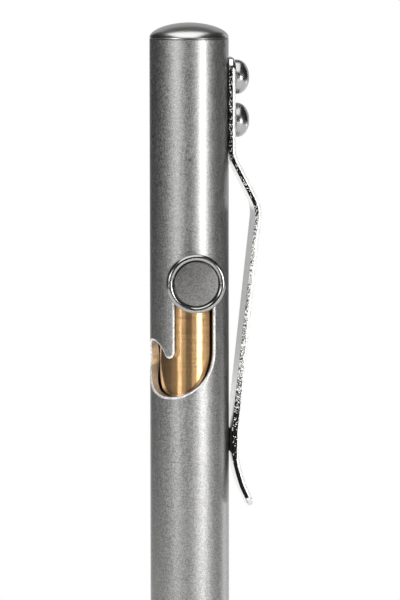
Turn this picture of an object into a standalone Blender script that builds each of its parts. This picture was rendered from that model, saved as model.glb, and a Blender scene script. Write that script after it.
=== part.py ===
"""Bolt action pen in metres, standing tip down on the Z axis.

The nose face lies at the origin and the end plug's dome is the top.  The straight leg of the bolt's slot
faces -Y, its hook runs towards -X, and the pocket clip stands on the +X side.
"""
import math

import bmesh
import bpy

# Body, with lengths measured up the axis from the nose face
LENGTH = 0.1458  # to the top of the dome
BODY_DIA = 0.0110
BARREL_WALL = 0.0011
FRONT_LENGTH = 0.0420  # to the seam between front section and barrel
SEAM_CHAMFER = 0.00015
BORE_CHAMFER = 0.0003

# Clearances between pieces that bear on, slide in or pass through each other
SEAT_GAP = 0.00005
RUN_GAP = 0.00005
PLAY_GAP = 0.00015
THREAD_GAP = 0.00005
HOLE_GAP = 0.0001
SLOT_GAP = 0.00015
COIN_GAP = 0.00013
CUT_OVERRUN = 0.0002  # a cut past the surface it opens

# End plug
DOME_HEIGHT = 0.00215
DOME_FULLNESS = 1.88  # 2 is an ellipse, less falls away sooner
PLUG_DEPTH = 0.0180  # stem below the dome's rim
PLUG_CHAMFER = 0.0004

# J slot for the bolt, with its path measured on the barrel's outer surface
BOLT_DROP = 0.0358  # top of the dome to the bolt at rest
SLOT_WIDTH = 0.0054
SLOT_CHAMFER = 0.00023
LEG_LENGTH = 0.0095
HOOK_RADIUS = 0.00382
HOOK_SWEEP = math.radians(156)

# Bolt knob, its coin and the screw under it
KNOB_DIA = 0.0082
KNOB_CLEARANCE = 0.0003  # under the knob, over the barrel
KNOB_THICKNESS = 0.0016
KNOB_RIM = 0.0009
KNOB_ROUND = 0.0004
COIN_THICKNESS = 0.0005
COIN_SINK = 0.00015
COIN_EDGE = 0.0001
STEM_SINK = 0.0010  # depth of the stem's seat in the plunger
KNOB_SCREW_HEAD_DIA = 0.0042
KNOB_SCREW_HEAD = 0.0006
KNOB_SCREW_REACH = 0.0030  # thread inside the plunger
KNOB_SCREW_HEX = 0.0013

# Plunger
PLUNGER_RISE = 0.0065  # bolt to the plunger's top
PLUNGER_COVER = 0.0018  # plunger below the slot's lowest edge
PLUNGER_CHAMFER = 0.0003
SOCKET_DROP = 0.0042  # bolt to the floor of the refill socket
SOCKET_CHAMFER = 0.0003

# Machine screws
SCREW_DIA = 0.0025
SCREW_POINT = 0.0003
TAP_SPARE = 0.0008  # tapped hole past a screw's end

# Pocket clip, a bent strip described along its inner face
CLIP_WIDTH = 0.0050
CLIP_THICKNESS = 0.00095
CLIP_DROP = 0.0048  # top of the dome to the clip's top end
CLIP_FOOT = 0.0126  # flat foot above the first bend
CLIP_CORNER = 0.0016
CLIP_EDGE = 0.00012
CLIP_SEAT_DEPTH = 0.00028  # flat milled into the barrel
CLIP_SEAT_MARGIN = 0.0002
CLIP_LIFT = math.radians(27.2)
CLIP_LIFT_RADIUS = 0.0048
CLIP_BULGE = 0.0034  # barrel's surface to the inner face at the bulge
CLIP_BULGE_RADIUS = 0.0044
CLIP_FALL = math.radians(6.3)
CLIP_TOUCH_RADIUS = 0.0175
CLIP_TOUCH_GAP = 0.00005
CLIP_RISE = math.radians(16.5)
CLIP_RISE_RUN = 0.0010
CLIP_FLARE = math.radians(25)
CLIP_FLARE_RADIUS = 0.0090
CLIP_FLARE_RUN = 0.0006
CLIP_SCREW_INSET = 0.0028  # clip's top end to the upper screw
CLIP_SCREW_PITCH = 0.0060
CLIP_SCREW_HEAD_DIA = 0.0048
CLIP_SCREW_HEAD = 0.00215
CLIP_SCREW_BRIM = 0.00045
CLIP_SCREW_HEX = 0.0015
CLIP_SCREW_SOCKET = 0.0011
CLIP_SCREW_END = 0.0004  # screw's end, from the axis

# Front section
NOSE_FACE_DIA = 0.0050
NOSE_LENGTH = 0.0200
NOSE_ROUND = 0.0004
NOSE_BORE_DIA = 0.0027
SPRING_SEAT = 0.0030
SPRING_BORE_DIA = 0.0053
REFILL_BORE_START = 0.0080
SPIGOT_LENGTH = 0.0100
RING_WIRE = 0.00065
RING_DROP = 0.0006  # shoulder to the ring's groove
GROOVE_SPARE = 0.0001

# Refill
TIP_DEPTH = 0.00765  # nose face to the retracted ball
REFILL_DIA = 0.0059
REFILL_WALL = 0.0003
NECK_DIA = 0.0031
POINT_DIA = 0.0023
POINT_LENGTH = 0.0066
POINT_CONE = 0.0026
POINT_LIP_DIA = 0.0010
SHOULDER_LENGTH = 0.0118
SHANK_DIA = 0.0020
BALL_DIA = 0.0007
BALL_SHOW = 0.00025
INK_BORE_DIA = 0.0005
TAIL_FLANGE = 0.0015
TAIL_PLUG = 0.0045
TAIL_NOTCH = 0.0012

# Return spring
SPRING_WIRE = 0.00045
SPRING_DIA = 0.0048
SPRING_COILS = 8
SPRING_END_PITCH = 0.00050

# Facets
BODY_STEPS = 40
SMALL_STEPS = 24
CURVE_STEPS = 10
BEND_STEPS = 6
ROUND_STEPS = 4
CORNER_STEPS = 3
HOOK_STEPS = 24
CAP_STEPS = 9
COIL_STEPS = 12
WIRE_STEPS = 6
BALL_STEPS = 10

# Values worked out from those above
BODY_R = BODY_DIA / 2
BORE_R = BODY_R - BARREL_WALL
SLIDE_R = BORE_R - RUN_GAP
PLUNGER_R = BORE_R - PLAY_GAP
RIM_Z = LENGTH - DOME_HEIGHT
BOLT_Z = LENGTH - BOLT_DROP
LEG_END_Z = BOLT_Z - LEG_LENGTH
SLOT_R = SLOT_WIDTH / 2
SLOT_LOW_Z = LEG_END_Z - HOOK_RADIUS - SLOT_R - SLOT_CHAMFER
STEM_R = SLOT_R - SLOT_GAP
STEM_SEAT_R = SLIDE_R - STEM_SINK
KNOB_UNDER_R = BODY_R + KNOB_CLEARANCE
KNOB_FACE_R = KNOB_UNDER_R + KNOB_THICKNESS
COIN_FACE_R = KNOB_FACE_R - COIN_SINK
COIN_LEDGE_R = COIN_FACE_R - COIN_THICKNESS - SEAT_GAP
SCREW_R = SCREW_DIA / 2
TAP_R = SCREW_R + THREAD_GAP
PASS_R = SCREW_R + HOLE_GAP
CLIP_TOP_Z = LENGTH - CLIP_DROP
CLIP_SEAT_X = BODY_R - CLIP_SEAT_DEPTH
CLIP_INNER_X = CLIP_SEAT_X + SEAT_GAP
CLIP_REACH = BODY_R + CLIP_BULGE
CLIP_SCREW_SEAT_X = CLIP_INNER_X + CLIP_THICKNESS + SEAT_GAP
TAIL_Z = BOLT_Z - SOCKET_DROP - SEAT_GAP
SHOULDER_Z = TIP_DEPTH + SHOULDER_LENGTH
NECK_Z = TIP_DEPTH + POINT_LENGTH
REFILL_R = REFILL_DIA / 2
SOCKET_R = REFILL_R + HOLE_GAP
SPIGOT_TOP_Z = FRONT_LENGTH + SPIGOT_LENGTH


def clear_scene():
    """Empty the file of objects."""
    for obj in list(bpy.data.objects):
        bpy.data.objects.remove(obj, do_unlink=True)


def add_collection(name):
    """Make a collection in the scene."""
    collection = bpy.data.collections.new(name)
    bpy.context.scene.collection.children.link(collection)
    return collection


def add_material(name, colour, roughness, metallic=1.0):
    """Make a Principled material."""
    material = bpy.data.materials.new(name)
    material.use_nodes = True
    shader = material.node_tree.nodes["Principled BSDF"]
    shader.inputs["Base Color"].default_value = (*colour, 1.0)
    shader.inputs["Roughness"].default_value = roughness
    shader.inputs["Metallic"].default_value = metallic
    return material


def add_object(name, data, collection, material=None):
    """Link an object, with its material, into a collection."""
    obj = bpy.data.objects.new(name, data)
    collection.objects.link(obj)
    if material:
        data.materials.append(material)
    return obj


def arc(centre, radii, start, end, steps=ROUND_STEPS):
    """Points of an elliptical arc in a turned profile, with angles from the radial direction."""
    points = []
    for step in range(steps + 1):
        angle = start + (end - start) * step / steps
        points.append((centre[0] + radii[0] * math.cos(angle), centre[1] + radii[1] * math.sin(angle)))
    return points


def add_turned(name, profile, collection, material, steps=BODY_STEPS, hollow=False):
    """Spin a profile of (radius, height) points, listed down its outer side, about the Z axis."""
    mesh = bpy.data.meshes.new(name)
    edges = [(index, index + 1) for index in range(len(profile) - 1)]
    if hollow:
        edges.append((len(profile) - 1, 0))
    mesh.from_pydata([(radius, 0.0, height) for radius, height in profile], edges, [])
    obj = add_object(name, mesh, collection, material)
    screw = obj.modifiers.new("Turn", "SCREW")
    screw.axis = "Z"
    screw.angle = math.tau
    screw.steps = steps
    screw.render_steps = steps
    screw.use_merge_vertices = True
    screw.merge_threshold = 1e-6
    screw.use_smooth_shade = True
    return obj


def add_cutter(name, mesh, collection):
    """Turn a mesh into a wire-drawn tool for Boolean cuts."""
    cutter = add_object(name, mesh, collection)
    cutter.hide_render = True
    cutter.display_type = "WIRE"
    return cutter


def add_drill(name, radius, start, end, collection, sides=SMALL_STEPS):
    """A round or many-sided bar from start to end up its own Z axis."""
    mesh = bpy.data.meshes.new(name)
    form = bmesh.new()
    size = {"radius1": radius, "radius2": radius, "depth": end - start}
    bmesh.ops.create_cone(form, cap_ends=True, segments=sides, **size)
    bmesh.ops.translate(form, verts=form.verts, vec=(0.0, 0.0, (start + end) / 2))
    form.to_mesh(mesh)
    form.free()
    return add_cutter(name, mesh, collection)


def add_block(name, low, high, collection):
    """A rectangular tool between two corners."""
    mesh = bpy.data.meshes.new(name)
    form = bmesh.new()
    bmesh.ops.create_cube(form, size=1.0)
    bmesh.ops.scale(form, verts=form.verts, vec=[top - bottom for bottom, top in zip(low, high)])
    bmesh.ops.translate(form, verts=form.verts, vec=[(top + bottom) / 2 for bottom, top in zip(low, high)])
    form.to_mesh(mesh)
    form.free()
    return add_cutter(name, mesh, collection)


def cut(obj, cutter):
    """Take a tool's volume out of an object."""
    boolean = obj.modifiers.new(cutter.name, "BOOLEAN")
    boolean.operation = "DIFFERENCE"
    boolean.solver = "EXACT"
    boolean.object = cutter


def point_along_x(obj, height):
    """Lay an object's own Z axis along +X at a height on the pen's axis."""
    obj.location = (0.0, 0.0, height)
    obj.rotation_euler = (0.0, math.pi / 2, 0.0)


def point_along_minus_y(obj, height):
    """Lay an object's own Z axis along -Y at a height on the pen's axis."""
    obj.location = (0.0, 0.0, height)
    obj.rotation_euler = (math.pi / 2, 0.0, 0.0)


def slot_station(distance):
    """Bolt centre after a distance along the slot: its turn about the axis, its height and their rates."""
    if distance <= LEG_LENGTH:
        return 0.0, BOLT_Z - distance, 0.0, -1.0
    swept = (distance - LEG_LENGTH) / HOOK_RADIUS
    turn = -HOOK_RADIUS * (1 - math.cos(swept)) / BODY_R
    height = LEG_END_Z - HOOK_RADIUS * math.sin(swept)
    return turn, height, -math.sin(swept) / BODY_R, -math.cos(swept)


def slot_stations(steps):
    """The two ends of the straight leg, then even steps round the hook."""
    stations = [slot_station(0.0)]
    for step in range(steps + 1):
        stations.append(slot_station(LEG_LENGTH + HOOK_RADIUS * HOOK_SWEEP * step / steps))
    return stations


def mill_wall_angle(station, radius, tool, side):
    """Where on the milling tool's circle the slot's wall touches it, at a radius from the axis."""
    turn_rate, height_rate = station[2:]
    angle = 0.0 if side < 0 else math.pi
    for _ in range(12):
        offset = tool * math.cos(angle) / radius
        angle = math.atan2(-side * radius * math.sqrt(1 - offset * offset) * turn_rate, side * height_rate)
    return angle % math.tau


def mill_point(station, radius, tool, angle):
    """Turn and height of a point on the tool's circle."""
    return station[0] + math.asin(tool * math.cos(angle) / radius), station[1] + tool * math.sin(angle)


def trim_crossed_wall(wall, radius, tool):
    """Close up the stretch of a wall that the tool clears from elsewhere along the slot."""
    reach = LEG_LENGTH + HOOK_RADIUS * HOOK_SWEEP
    count = 8 * HOOK_STEPS
    path = [slot_station(reach * step / count) for step in range(count + 1)]
    limit = (0.999 * tool) ** 2

    def cleared(turn, height):
        offsets = ((radius * math.sin(turn - spot[0]), height - spot[1]) for spot in path)
        return any(across * across + along * along < limit for across, along in offsets)

    lost = [index for index, point in enumerate(wall) if cleared(*point)]
    if lost:
        before = wall[lost[0] - 1]
        after = wall[lost[-1] + 1]
        for index in range(lost[0] - 1, lost[-1] + 2):
            wall[index] = ((before[0] + after[0]) / 2, (before[1] + after[1]) / 2)
    return wall


def slot_ring(radius, tool):
    """Outline of the slot at one radius: tongue side, pocket end, outer side, rest end."""
    stations = slot_stations(HOOK_STEPS)
    tongue_angles = [mill_wall_angle(station, radius, tool, 1) for station in stations]
    outer_angles = [mill_wall_angle(station, radius, tool, -1) for station in stations]
    tongue = [mill_point(spot, radius, tool, angle) for spot, angle in zip(stations, tongue_angles)]
    outer = [mill_point(spot, radius, tool, angle) for spot, angle in zip(stations, outer_angles)]
    pocket = []
    rest = []
    for step in range(1, CAP_STEPS + 1):
        share = step / (CAP_STEPS + 1)
        pocket.append(mill_point(stations[-1], radius, tool, tongue_angles[-1] + math.pi * share))
        rest.append(mill_point(stations[0], radius, tool, math.pi * share))
    return trim_crossed_wall(tongue + pocket, radius, tool) + outer[::-1] + rest


def add_slot_cutter(collection):
    """The J slot's volume, with walls that follow a radial milling tool and a chamfer at the surface."""
    inside = BORE_R - CUT_OVERRUN
    below = BODY_R - SLOT_CHAMFER
    above = BODY_R + SLOT_CHAMFER
    chamfer_ring = slot_ring(above, SLOT_R + 2 * SLOT_CHAMFER)
    rings = [
        (inside, slot_ring(inside, SLOT_R)),
        (below, slot_ring(below, SLOT_R)),
        (above, chamfer_ring),
        (BODY_R + SLOT_R, chamfer_ring),
    ]
    form = bmesh.new()
    grid = []
    for radius, ring in rings:
        spots = [(radius * math.sin(turn), -radius * math.cos(turn), height) for turn, height in ring]
        grid.append([form.verts.new(spot) for spot in spots])
    count = len(chamfer_ring)
    for inner, outer in zip(grid, grid[1:]):
        for index in range(count):
            after = (index + 1) % count
            form.faces.new((inner[index], inner[after], outer[after], outer[index]))
    # Cross strips close the slot's floor and top, from one side to the other.
    half = count // 2
    for ring in (grid[0], grid[-1]):
        loop = ring[-(CAP_STEPS // 2):] + ring[:-(CAP_STEPS // 2)]
        lonely = loop.pop(0) if count % 2 else None
        pairs = [(loop[index], loop[-1 - index]) for index in range(half)]
        if lonely:
            form.faces.new((lonely, *pairs[0]))
        for left, right in zip(pairs, pairs[1:]):
            form.faces.new((left[0], right[0], right[1], left[1]))
    bmesh.ops.remove_doubles(form, verts=form.verts, dist=1e-7)
    bmesh.ops.recalc_face_normals(form, faces=form.faces)
    mesh = bpy.data.meshes.new("slot_tool")
    form.to_mesh(mesh)
    form.free()
    return add_cutter("slot_tool", mesh, collection)


def clip_screw_heights():
    """Heights of the two clip screws, upper one first."""
    upper = CLIP_TOP_Z - CLIP_SCREW_INSET
    return upper, upper - CLIP_SCREW_PITCH


def add_clip_screw_drills(name, radius, start, end, collection):
    """A pair of drills along +X at the clip screws."""
    drills = []
    for label, height in zip(("upper", "lower"), clip_screw_heights()):
        drill = add_drill(f"{name}_{label}", radius, start, end, collection)
        point_along_x(drill, height)
        drills.append(drill)
    return drills


def add_barrel(parts, tools, material):
    """Straight tube with the J slot, the clip's flat and the clip screws' holes."""
    top = RIM_Z - SEAT_GAP
    bottom = FRONT_LENGTH + SEAT_GAP
    profile = [
        (BODY_R - SEAM_CHAMFER, top),
        (BODY_R, top - SEAM_CHAMFER),
        (BODY_R, bottom + SEAM_CHAMFER),
        (BODY_R - SEAM_CHAMFER, bottom),
        (BORE_R + BORE_CHAMFER, bottom),
        (BORE_R, bottom + BORE_CHAMFER),
        (BORE_R, top),
    ]
    barrel = add_turned("barrel", profile, parts, material, hollow=True)
    cut(barrel, add_slot_cutter(tools))
    lift_run = math.sqrt(2 * CLIP_LIFT_RADIUS * CLIP_SEAT_DEPTH)
    flat_low = (CLIP_SEAT_X, -CLIP_WIDTH, CLIP_TOP_Z - CLIP_FOOT - lift_run - CLIP_SEAT_MARGIN)
    flat_high = (BODY_DIA, CLIP_WIDTH, CLIP_TOP_Z + CLIP_SEAT_MARGIN)
    cut(barrel, add_block("clip_flat_tool", flat_low, flat_high, tools))
    for drill in add_clip_screw_drills("barrel_drill", PASS_R, BORE_R / 2, BODY_DIA, tools):
        cut(barrel, drill)
    return barrel


def add_end_plug(parts, tools, material):
    """Domed cap on a stem that takes the clip screws."""
    foot = RIM_Z - PLUG_DEPTH
    brim = RIM_Z + SEAM_CHAMFER
    power = 2 / DOME_FULLNESS
    quarter = arc((0.0, 0.0), (1.0, 1.0), math.pi / 2, 0.0, CURVE_STEPS)
    dome = [(BODY_R * abs(x) ** power, brim + (LENGTH - brim) * abs(z) ** power) for x, z in quarter]
    dome[0] = (0.0, LENGTH)
    dome[-1] = (BODY_R, brim)
    profile = dome + [
        (BODY_R - SEAM_CHAMFER, RIM_Z),
        (SLIDE_R, RIM_Z),
        (SLIDE_R, foot + PLUG_CHAMFER),
        (SLIDE_R - PLUG_CHAMFER, foot),
        (0.0, foot),
    ]
    plug = add_turned("end_plug", profile, parts, material)
    for drill in add_clip_screw_drills("plug_tap", TAP_R, CLIP_SCREW_END - TAP_SPARE, BODY_DIA, tools):
        cut(plug, drill)
    return plug


def bend_strip(spot, heading, radius, new_heading):
    """Points of a bend that turns a strip's inner face to a new heading, measured from straight down."""
    points = []
    arm = math.copysign(radius, new_heading - heading)
    centre = (spot[0] + arm * math.cos(heading), spot[1] + arm * math.sin(heading))
    for step in range(1, BEND_STEPS + 1):
        angle = heading + (new_heading - heading) * step / BEND_STEPS
        points.append((centre[0] - arm * math.cos(angle), centre[1] - arm * math.sin(angle)))
    return points


def run_strip(spot, heading, length):
    """End of a straight run at a heading measured from straight down."""
    return spot[0] + length * math.sin(heading), spot[1] - length * math.cos(heading)


def clip_line():
    """Inner face of the clip, from its top end to its tip, as (distance from axis, height)."""
    line = [(CLIP_INNER_X, CLIP_TOP_Z), (CLIP_INNER_X, CLIP_TOP_Z - CLIP_FOOT)]
    line += bend_strip(line[-1], 0.0, CLIP_LIFT_RADIUS, CLIP_LIFT)
    crown = CLIP_BULGE_RADIUS * (1 - math.cos(CLIP_LIFT))
    line.append(run_strip(line[-1], CLIP_LIFT, (CLIP_REACH - crown - line[-1][0]) / math.sin(CLIP_LIFT)))
    line += bend_strip(line[-1], CLIP_LIFT, CLIP_BULGE_RADIUS, -CLIP_FALL)
    hollow = CLIP_TOUCH_RADIUS * (1 - math.cos(CLIP_FALL))
    touch_x = BODY_R + CLIP_TOUCH_GAP + hollow
    line.append(run_strip(line[-1], -CLIP_FALL, (line[-1][0] - touch_x) / math.sin(CLIP_FALL)))
    line += bend_strip(line[-1], -CLIP_FALL, CLIP_TOUCH_RADIUS, CLIP_RISE)
    line.append(run_strip(line[-1], CLIP_RISE, CLIP_RISE_RUN))
    line += bend_strip(line[-1], CLIP_RISE, CLIP_FLARE_RADIUS, CLIP_FLARE)
    line.append(run_strip(line[-1], CLIP_FLARE, CLIP_FLARE_RUN + CLIP_CORNER))
    return line


def split_run(start, end, distances):
    """Extra points on a straight run, at distances from its start."""
    length = math.dist(start, end)
    return [
        (start[0] + (end[0] - start[0]) * far / length, start[1] + (end[1] - start[1]) * far / length)
        for far in distances
    ]


def add_clip(parts, tools, material):
    """Bent strip with rounded ends and two screw holes."""
    line = clip_line()
    corner_angles = [math.pi / 2 * step / CORNER_STEPS for step in range(1, CORNER_STEPS + 1)]
    nooks = [CLIP_CORNER * (1 - math.cos(angle)) for angle in corner_angles]
    line[1:1] = split_run(line[0], line[1], nooks)
    tail = split_run(line[-1], line[-2], nooks)
    line[-1:-1] = tail[::-1]
    walked = [0.0]
    for before, after in zip(line, line[1:]):
        walked.append(walked[-1] + math.dist(before, after))
    form = bmesh.new()
    rows = []
    for spot, far in zip(line, walked):
        inset = max(0.0, CLIP_CORNER - min(far, walked[-1] - far))
        half = CLIP_WIDTH / 2 - CLIP_CORNER + math.sqrt(max(0.0, CLIP_CORNER**2 - inset**2))
        rows.append([form.verts.new((spot[0], side * half, spot[1])) for side in (-1, 1)])
    for above, below in zip(rows, rows[1:]):
        form.faces.new((above[0], below[0], below[1], above[1]))
    bmesh.ops.remove_doubles(form, verts=form.verts, dist=1e-7)
    mesh = bpy.data.meshes.new("pocket_clip")
    form.to_mesh(mesh)
    form.free()
    clip = add_object("pocket_clip", mesh, parts, material)
    thicken = clip.modifiers.new("Thickness", "SOLIDIFY")
    thicken.thickness = CLIP_THICKNESS
    thicken.offset = 1.0
    thicken.use_even_offset = True
    soften = clip.modifiers.new("Edges", "BEVEL")
    soften.width = CLIP_EDGE
    soften.segments = 1
    soften.limit_method = "ANGLE"
    soften.angle_limit = math.radians(60)
    for drill in add_clip_screw_drills("clip_drill", PASS_R, BORE_R, BODY_DIA, tools):
        cut(clip, drill)
    return clip


def add_clip_screw(label, height, parts, tools, material):
    """Domed hexagon-socket screw through the clip into the end plug."""
    head_r = CLIP_SCREW_HEAD_DIA / 2
    crown = CLIP_SCREW_HEAD - CLIP_SCREW_BRIM
    seat = CLIP_SCREW_SEAT_X
    dome = arc((0.0, seat + CLIP_SCREW_BRIM), (head_r, crown), math.pi / 2, 0.0, BEND_STEPS)
    dome[0] = (0.0, seat + CLIP_SCREW_HEAD)
    profile = dome + [
        (head_r, seat),
        (SCREW_R, seat),
        (SCREW_R, CLIP_SCREW_END + SCREW_POINT),
        (SCREW_R - SCREW_POINT, CLIP_SCREW_END),
        (0.0, CLIP_SCREW_END),
    ]
    screw = add_turned(f"clip_screw_{label}", profile, parts, material, SMALL_STEPS)
    point_along_x(screw, height)
    top = seat + CLIP_SCREW_HEAD
    corner_r = CLIP_SCREW_HEX / math.sqrt(3)
    key = add_drill(f"clip_key_{label}", corner_r, top - CLIP_SCREW_SOCKET, top + CLIP_SCREW_HEAD, tools, 6)
    point_along_x(key, height)
    cut(screw, key)
    return screw


def add_bolt_knob(parts, material):
    """Rimmed thumb knob on the stem that runs in the slot."""
    knob_r = KNOB_DIA / 2
    recess_r = knob_r - KNOB_RIM
    head_r = KNOB_SCREW_HEAD_DIA / 2 + HOLE_GAP
    head_seat = COIN_LEDGE_R - 2 * SEAT_GAP - KNOB_SCREW_HEAD
    rounds = (KNOB_ROUND, KNOB_ROUND)
    crest = arc((recess_r + KNOB_ROUND, KNOB_FACE_R - KNOB_ROUND), rounds, math.pi, math.pi / 2)
    brow = arc((knob_r - KNOB_ROUND, KNOB_FACE_R - KNOB_ROUND), rounds, math.pi / 2, 0.0)
    lower = arc((knob_r - KNOB_ROUND, KNOB_UNDER_R + KNOB_ROUND), rounds, 0.0, -math.pi / 2)
    stem_end = STEM_SEAT_R + SEAT_GAP
    profile = crest + brow + lower + [
        (STEM_R, KNOB_UNDER_R),
        (STEM_R, stem_end),
        (PASS_R, stem_end),
        (PASS_R, head_seat),
        (head_r, head_seat),
        (head_r, COIN_LEDGE_R),
        (recess_r, COIN_LEDGE_R),
    ]
    knob = add_turned("bolt_knob", profile, parts, material, SMALL_STEPS, hollow=True)
    point_along_minus_y(knob, BOLT_Z)
    return knob


def add_knob_coin(parts, material):
    """Plain disc pressed into the knob over its screw."""
    coin_r = KNOB_DIA / 2 - KNOB_RIM - COIN_GAP
    back = COIN_FACE_R - COIN_THICKNESS
    profile = [
        (0.0, COIN_FACE_R),
        (coin_r - COIN_EDGE, COIN_FACE_R),
        (coin_r, COIN_FACE_R - COIN_EDGE),
        (coin_r, back),
        (0.0, back),
    ]
    coin = add_turned("knob_coin", profile, parts, material, SMALL_STEPS)
    point_along_minus_y(coin, BOLT_Z)
    return coin


def add_knob_screw(parts, tools, material):
    """Low-head screw that holds the knob on the plunger."""
    head_top = COIN_LEDGE_R - SEAT_GAP
    head_under = head_top - KNOB_SCREW_HEAD
    end = STEM_SEAT_R - KNOB_SCREW_REACH
    head_r = KNOB_SCREW_HEAD_DIA / 2
    profile = [
        (0.0, head_top),
        (head_r, head_top),
        (head_r, head_under),
        (SCREW_R, head_under),
        (SCREW_R, end + SCREW_POINT),
        (SCREW_R - SCREW_POINT, end),
        (0.0, end),
    ]
    screw = add_turned("knob_screw", profile, parts, material, SMALL_STEPS)
    point_along_minus_y(screw, BOLT_Z)
    corner_r = KNOB_SCREW_HEX / math.sqrt(3)
    key = add_drill("knob_key", corner_r, head_under, head_top + KNOB_SCREW_HEAD, tools, 6)
    point_along_minus_y(key, BOLT_Z)
    cut(screw, key)
    return screw


def add_plunger(parts, tools, material):
    """Slide that carries the bolt and pushes the refill."""
    top = BOLT_Z + PLUNGER_RISE
    bottom = SLOT_LOW_Z - PLUNGER_COVER
    floor = BOLT_Z - SOCKET_DROP
    profile = [
        (0.0, top),
        (PLUNGER_R - PLUNGER_CHAMFER, top),
        (PLUNGER_R, top - PLUNGER_CHAMFER),
        (PLUNGER_R, bottom + PLUNGER_CHAMFER),
        (PLUNGER_R - PLUNGER_CHAMFER, bottom),
        (SOCKET_R + SOCKET_CHAMFER, bottom),
        (SOCKET_R, bottom + SOCKET_CHAMFER),
        (SOCKET_R, floor),
        (0.0, floor),
    ]
    plunger = add_turned("plunger", profile, parts, material)
    seat = add_drill("stem_seat_tool", STEM_R + RUN_GAP, STEM_SEAT_R, BODY_R, tools, BODY_STEPS)
    tap = add_drill("knob_tap_tool", TAP_R, STEM_SEAT_R - KNOB_SCREW_REACH - TAP_SPARE, BODY_R, tools)
    for tool in (seat, tap):
        point_along_minus_y(tool, BOLT_Z)
        cut(plunger, tool)
    return plunger


def add_front_section(parts, material):
    """Grip and tapered nose in one turned piece, with a spigot that screws into the barrel."""
    face_r = NOSE_FACE_DIA / 2
    fall = BODY_R - face_r
    nose_r = (NOSE_LENGTH**2 + fall**2) / (2 * fall)
    sweep = math.asin(NOSE_LENGTH / nose_r)
    nose = arc((BODY_R - nose_r, NOSE_LENGTH), (nose_r, nose_r), 0.0, -sweep, CURVE_STEPS)
    edge = arc((face_r - NOSE_ROUND, NOSE_ROUND), (NOSE_ROUND, NOSE_ROUND), 0.0, -math.pi / 2)
    groove_top = FRONT_LENGTH + RING_DROP + RING_WIRE + 2 * GROOVE_SPARE
    groove_r = SLIDE_R - RING_WIRE - GROOVE_SPARE
    step = SOCKET_R - SPRING_BORE_DIA / 2
    profile = [
        (SLIDE_R - PLUG_CHAMFER, SPIGOT_TOP_Z),
        (SLIDE_R, SPIGOT_TOP_Z - PLUG_CHAMFER),
        (SLIDE_R, groove_top),
        (groove_r, groove_top),
        (groove_r, FRONT_LENGTH + RING_DROP),
        (SLIDE_R, FRONT_LENGTH + RING_DROP),
        (SLIDE_R, FRONT_LENGTH),
        (BODY_R - SEAM_CHAMFER, FRONT_LENGTH),
        (BODY_R, FRONT_LENGTH - SEAM_CHAMFER),
        *nose[:-1],
        *edge,
        (NOSE_BORE_DIA / 2, 0.0),
        (NOSE_BORE_DIA / 2, SPRING_SEAT),
        (SPRING_BORE_DIA / 2, SPRING_SEAT),
        (SPRING_BORE_DIA / 2, REFILL_BORE_START - step),
        (SOCKET_R, REFILL_BORE_START),
        (SOCKET_R, SPIGOT_TOP_Z),
    ]
    return add_turned("front_section", profile, parts, material, hollow=True)


def add_front_ring(parts, material):
    """O-ring in the spigot's groove."""
    wire_r = RING_WIRE / 2
    bpy.ops.mesh.primitive_torus_add(
        major_radius=SLIDE_R - GROOVE_SPARE / 2 - wire_r,
        minor_radius=wire_r,
        major_segments=BODY_STEPS,
        minor_segments=WIRE_STEPS,
        location=(0.0, 0.0, FRONT_LENGTH + RING_DROP + GROOVE_SPARE + wire_r),
    )
    ring = bpy.context.object
    ring.name = "front_ring"
    ring.data.materials.append(material)
    for collection in list(ring.users_collection):
        collection.objects.unlink(ring)
    parts.objects.link(ring)
    return ring


def add_refill_tube(parts, material):
    """Ink tube with a shoulder for the spring and a neck for the writing point."""
    top = TAIL_Z - TAIL_FLANGE - SEAT_GAP
    inner_r = REFILL_R - REFILL_WALL
    hole_r = SHANK_DIA / 2 + THREAD_GAP
    profile = [
        (REFILL_R, top),
        (REFILL_R, SHOULDER_Z + REFILL_WALL),
        (REFILL_R - REFILL_WALL, SHOULDER_Z),
        (NECK_DIA / 2, SHOULDER_Z),
        (NECK_DIA / 2, NECK_Z),
        (hole_r, NECK_Z),
        (hole_r, SHOULDER_Z + REFILL_WALL),
        (inner_r - REFILL_WALL, SHOULDER_Z + REFILL_WALL),
        (inner_r, SHOULDER_Z + 2 * REFILL_WALL),
        (inner_r, top),
    ]
    return add_turned("refill_tube", profile, parts, material, SMALL_STEPS, hollow=True)


def add_refill_tail(parts, tools, material):
    """Notched plug that closes the ink tube."""
    plug_r = REFILL_R - REFILL_WALL - RUN_GAP
    flange_low = TAIL_Z - TAIL_FLANGE
    profile = [
        (0.0, TAIL_Z),
        (REFILL_R - REFILL_WALL, TAIL_Z),
        (REFILL_R, TAIL_Z - REFILL_WALL),
        (REFILL_R, flange_low),
        (plug_r, flange_low),
        (plug_r, TAIL_Z - TAIL_PLUG),
        (0.0, TAIL_Z - TAIL_PLUG),
    ]
    tail = add_turned("refill_tail", profile, parts, material, SMALL_STEPS)
    half = TAIL_NOTCH / 2
    low = (-REFILL_DIA, -half, TAIL_Z - TAIL_FLANGE / 2)
    high = (REFILL_DIA, half, TAIL_Z + TAIL_FLANGE)
    cut(tail, add_block("tail_notch_tool", low, high, tools))
    return tail


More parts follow.
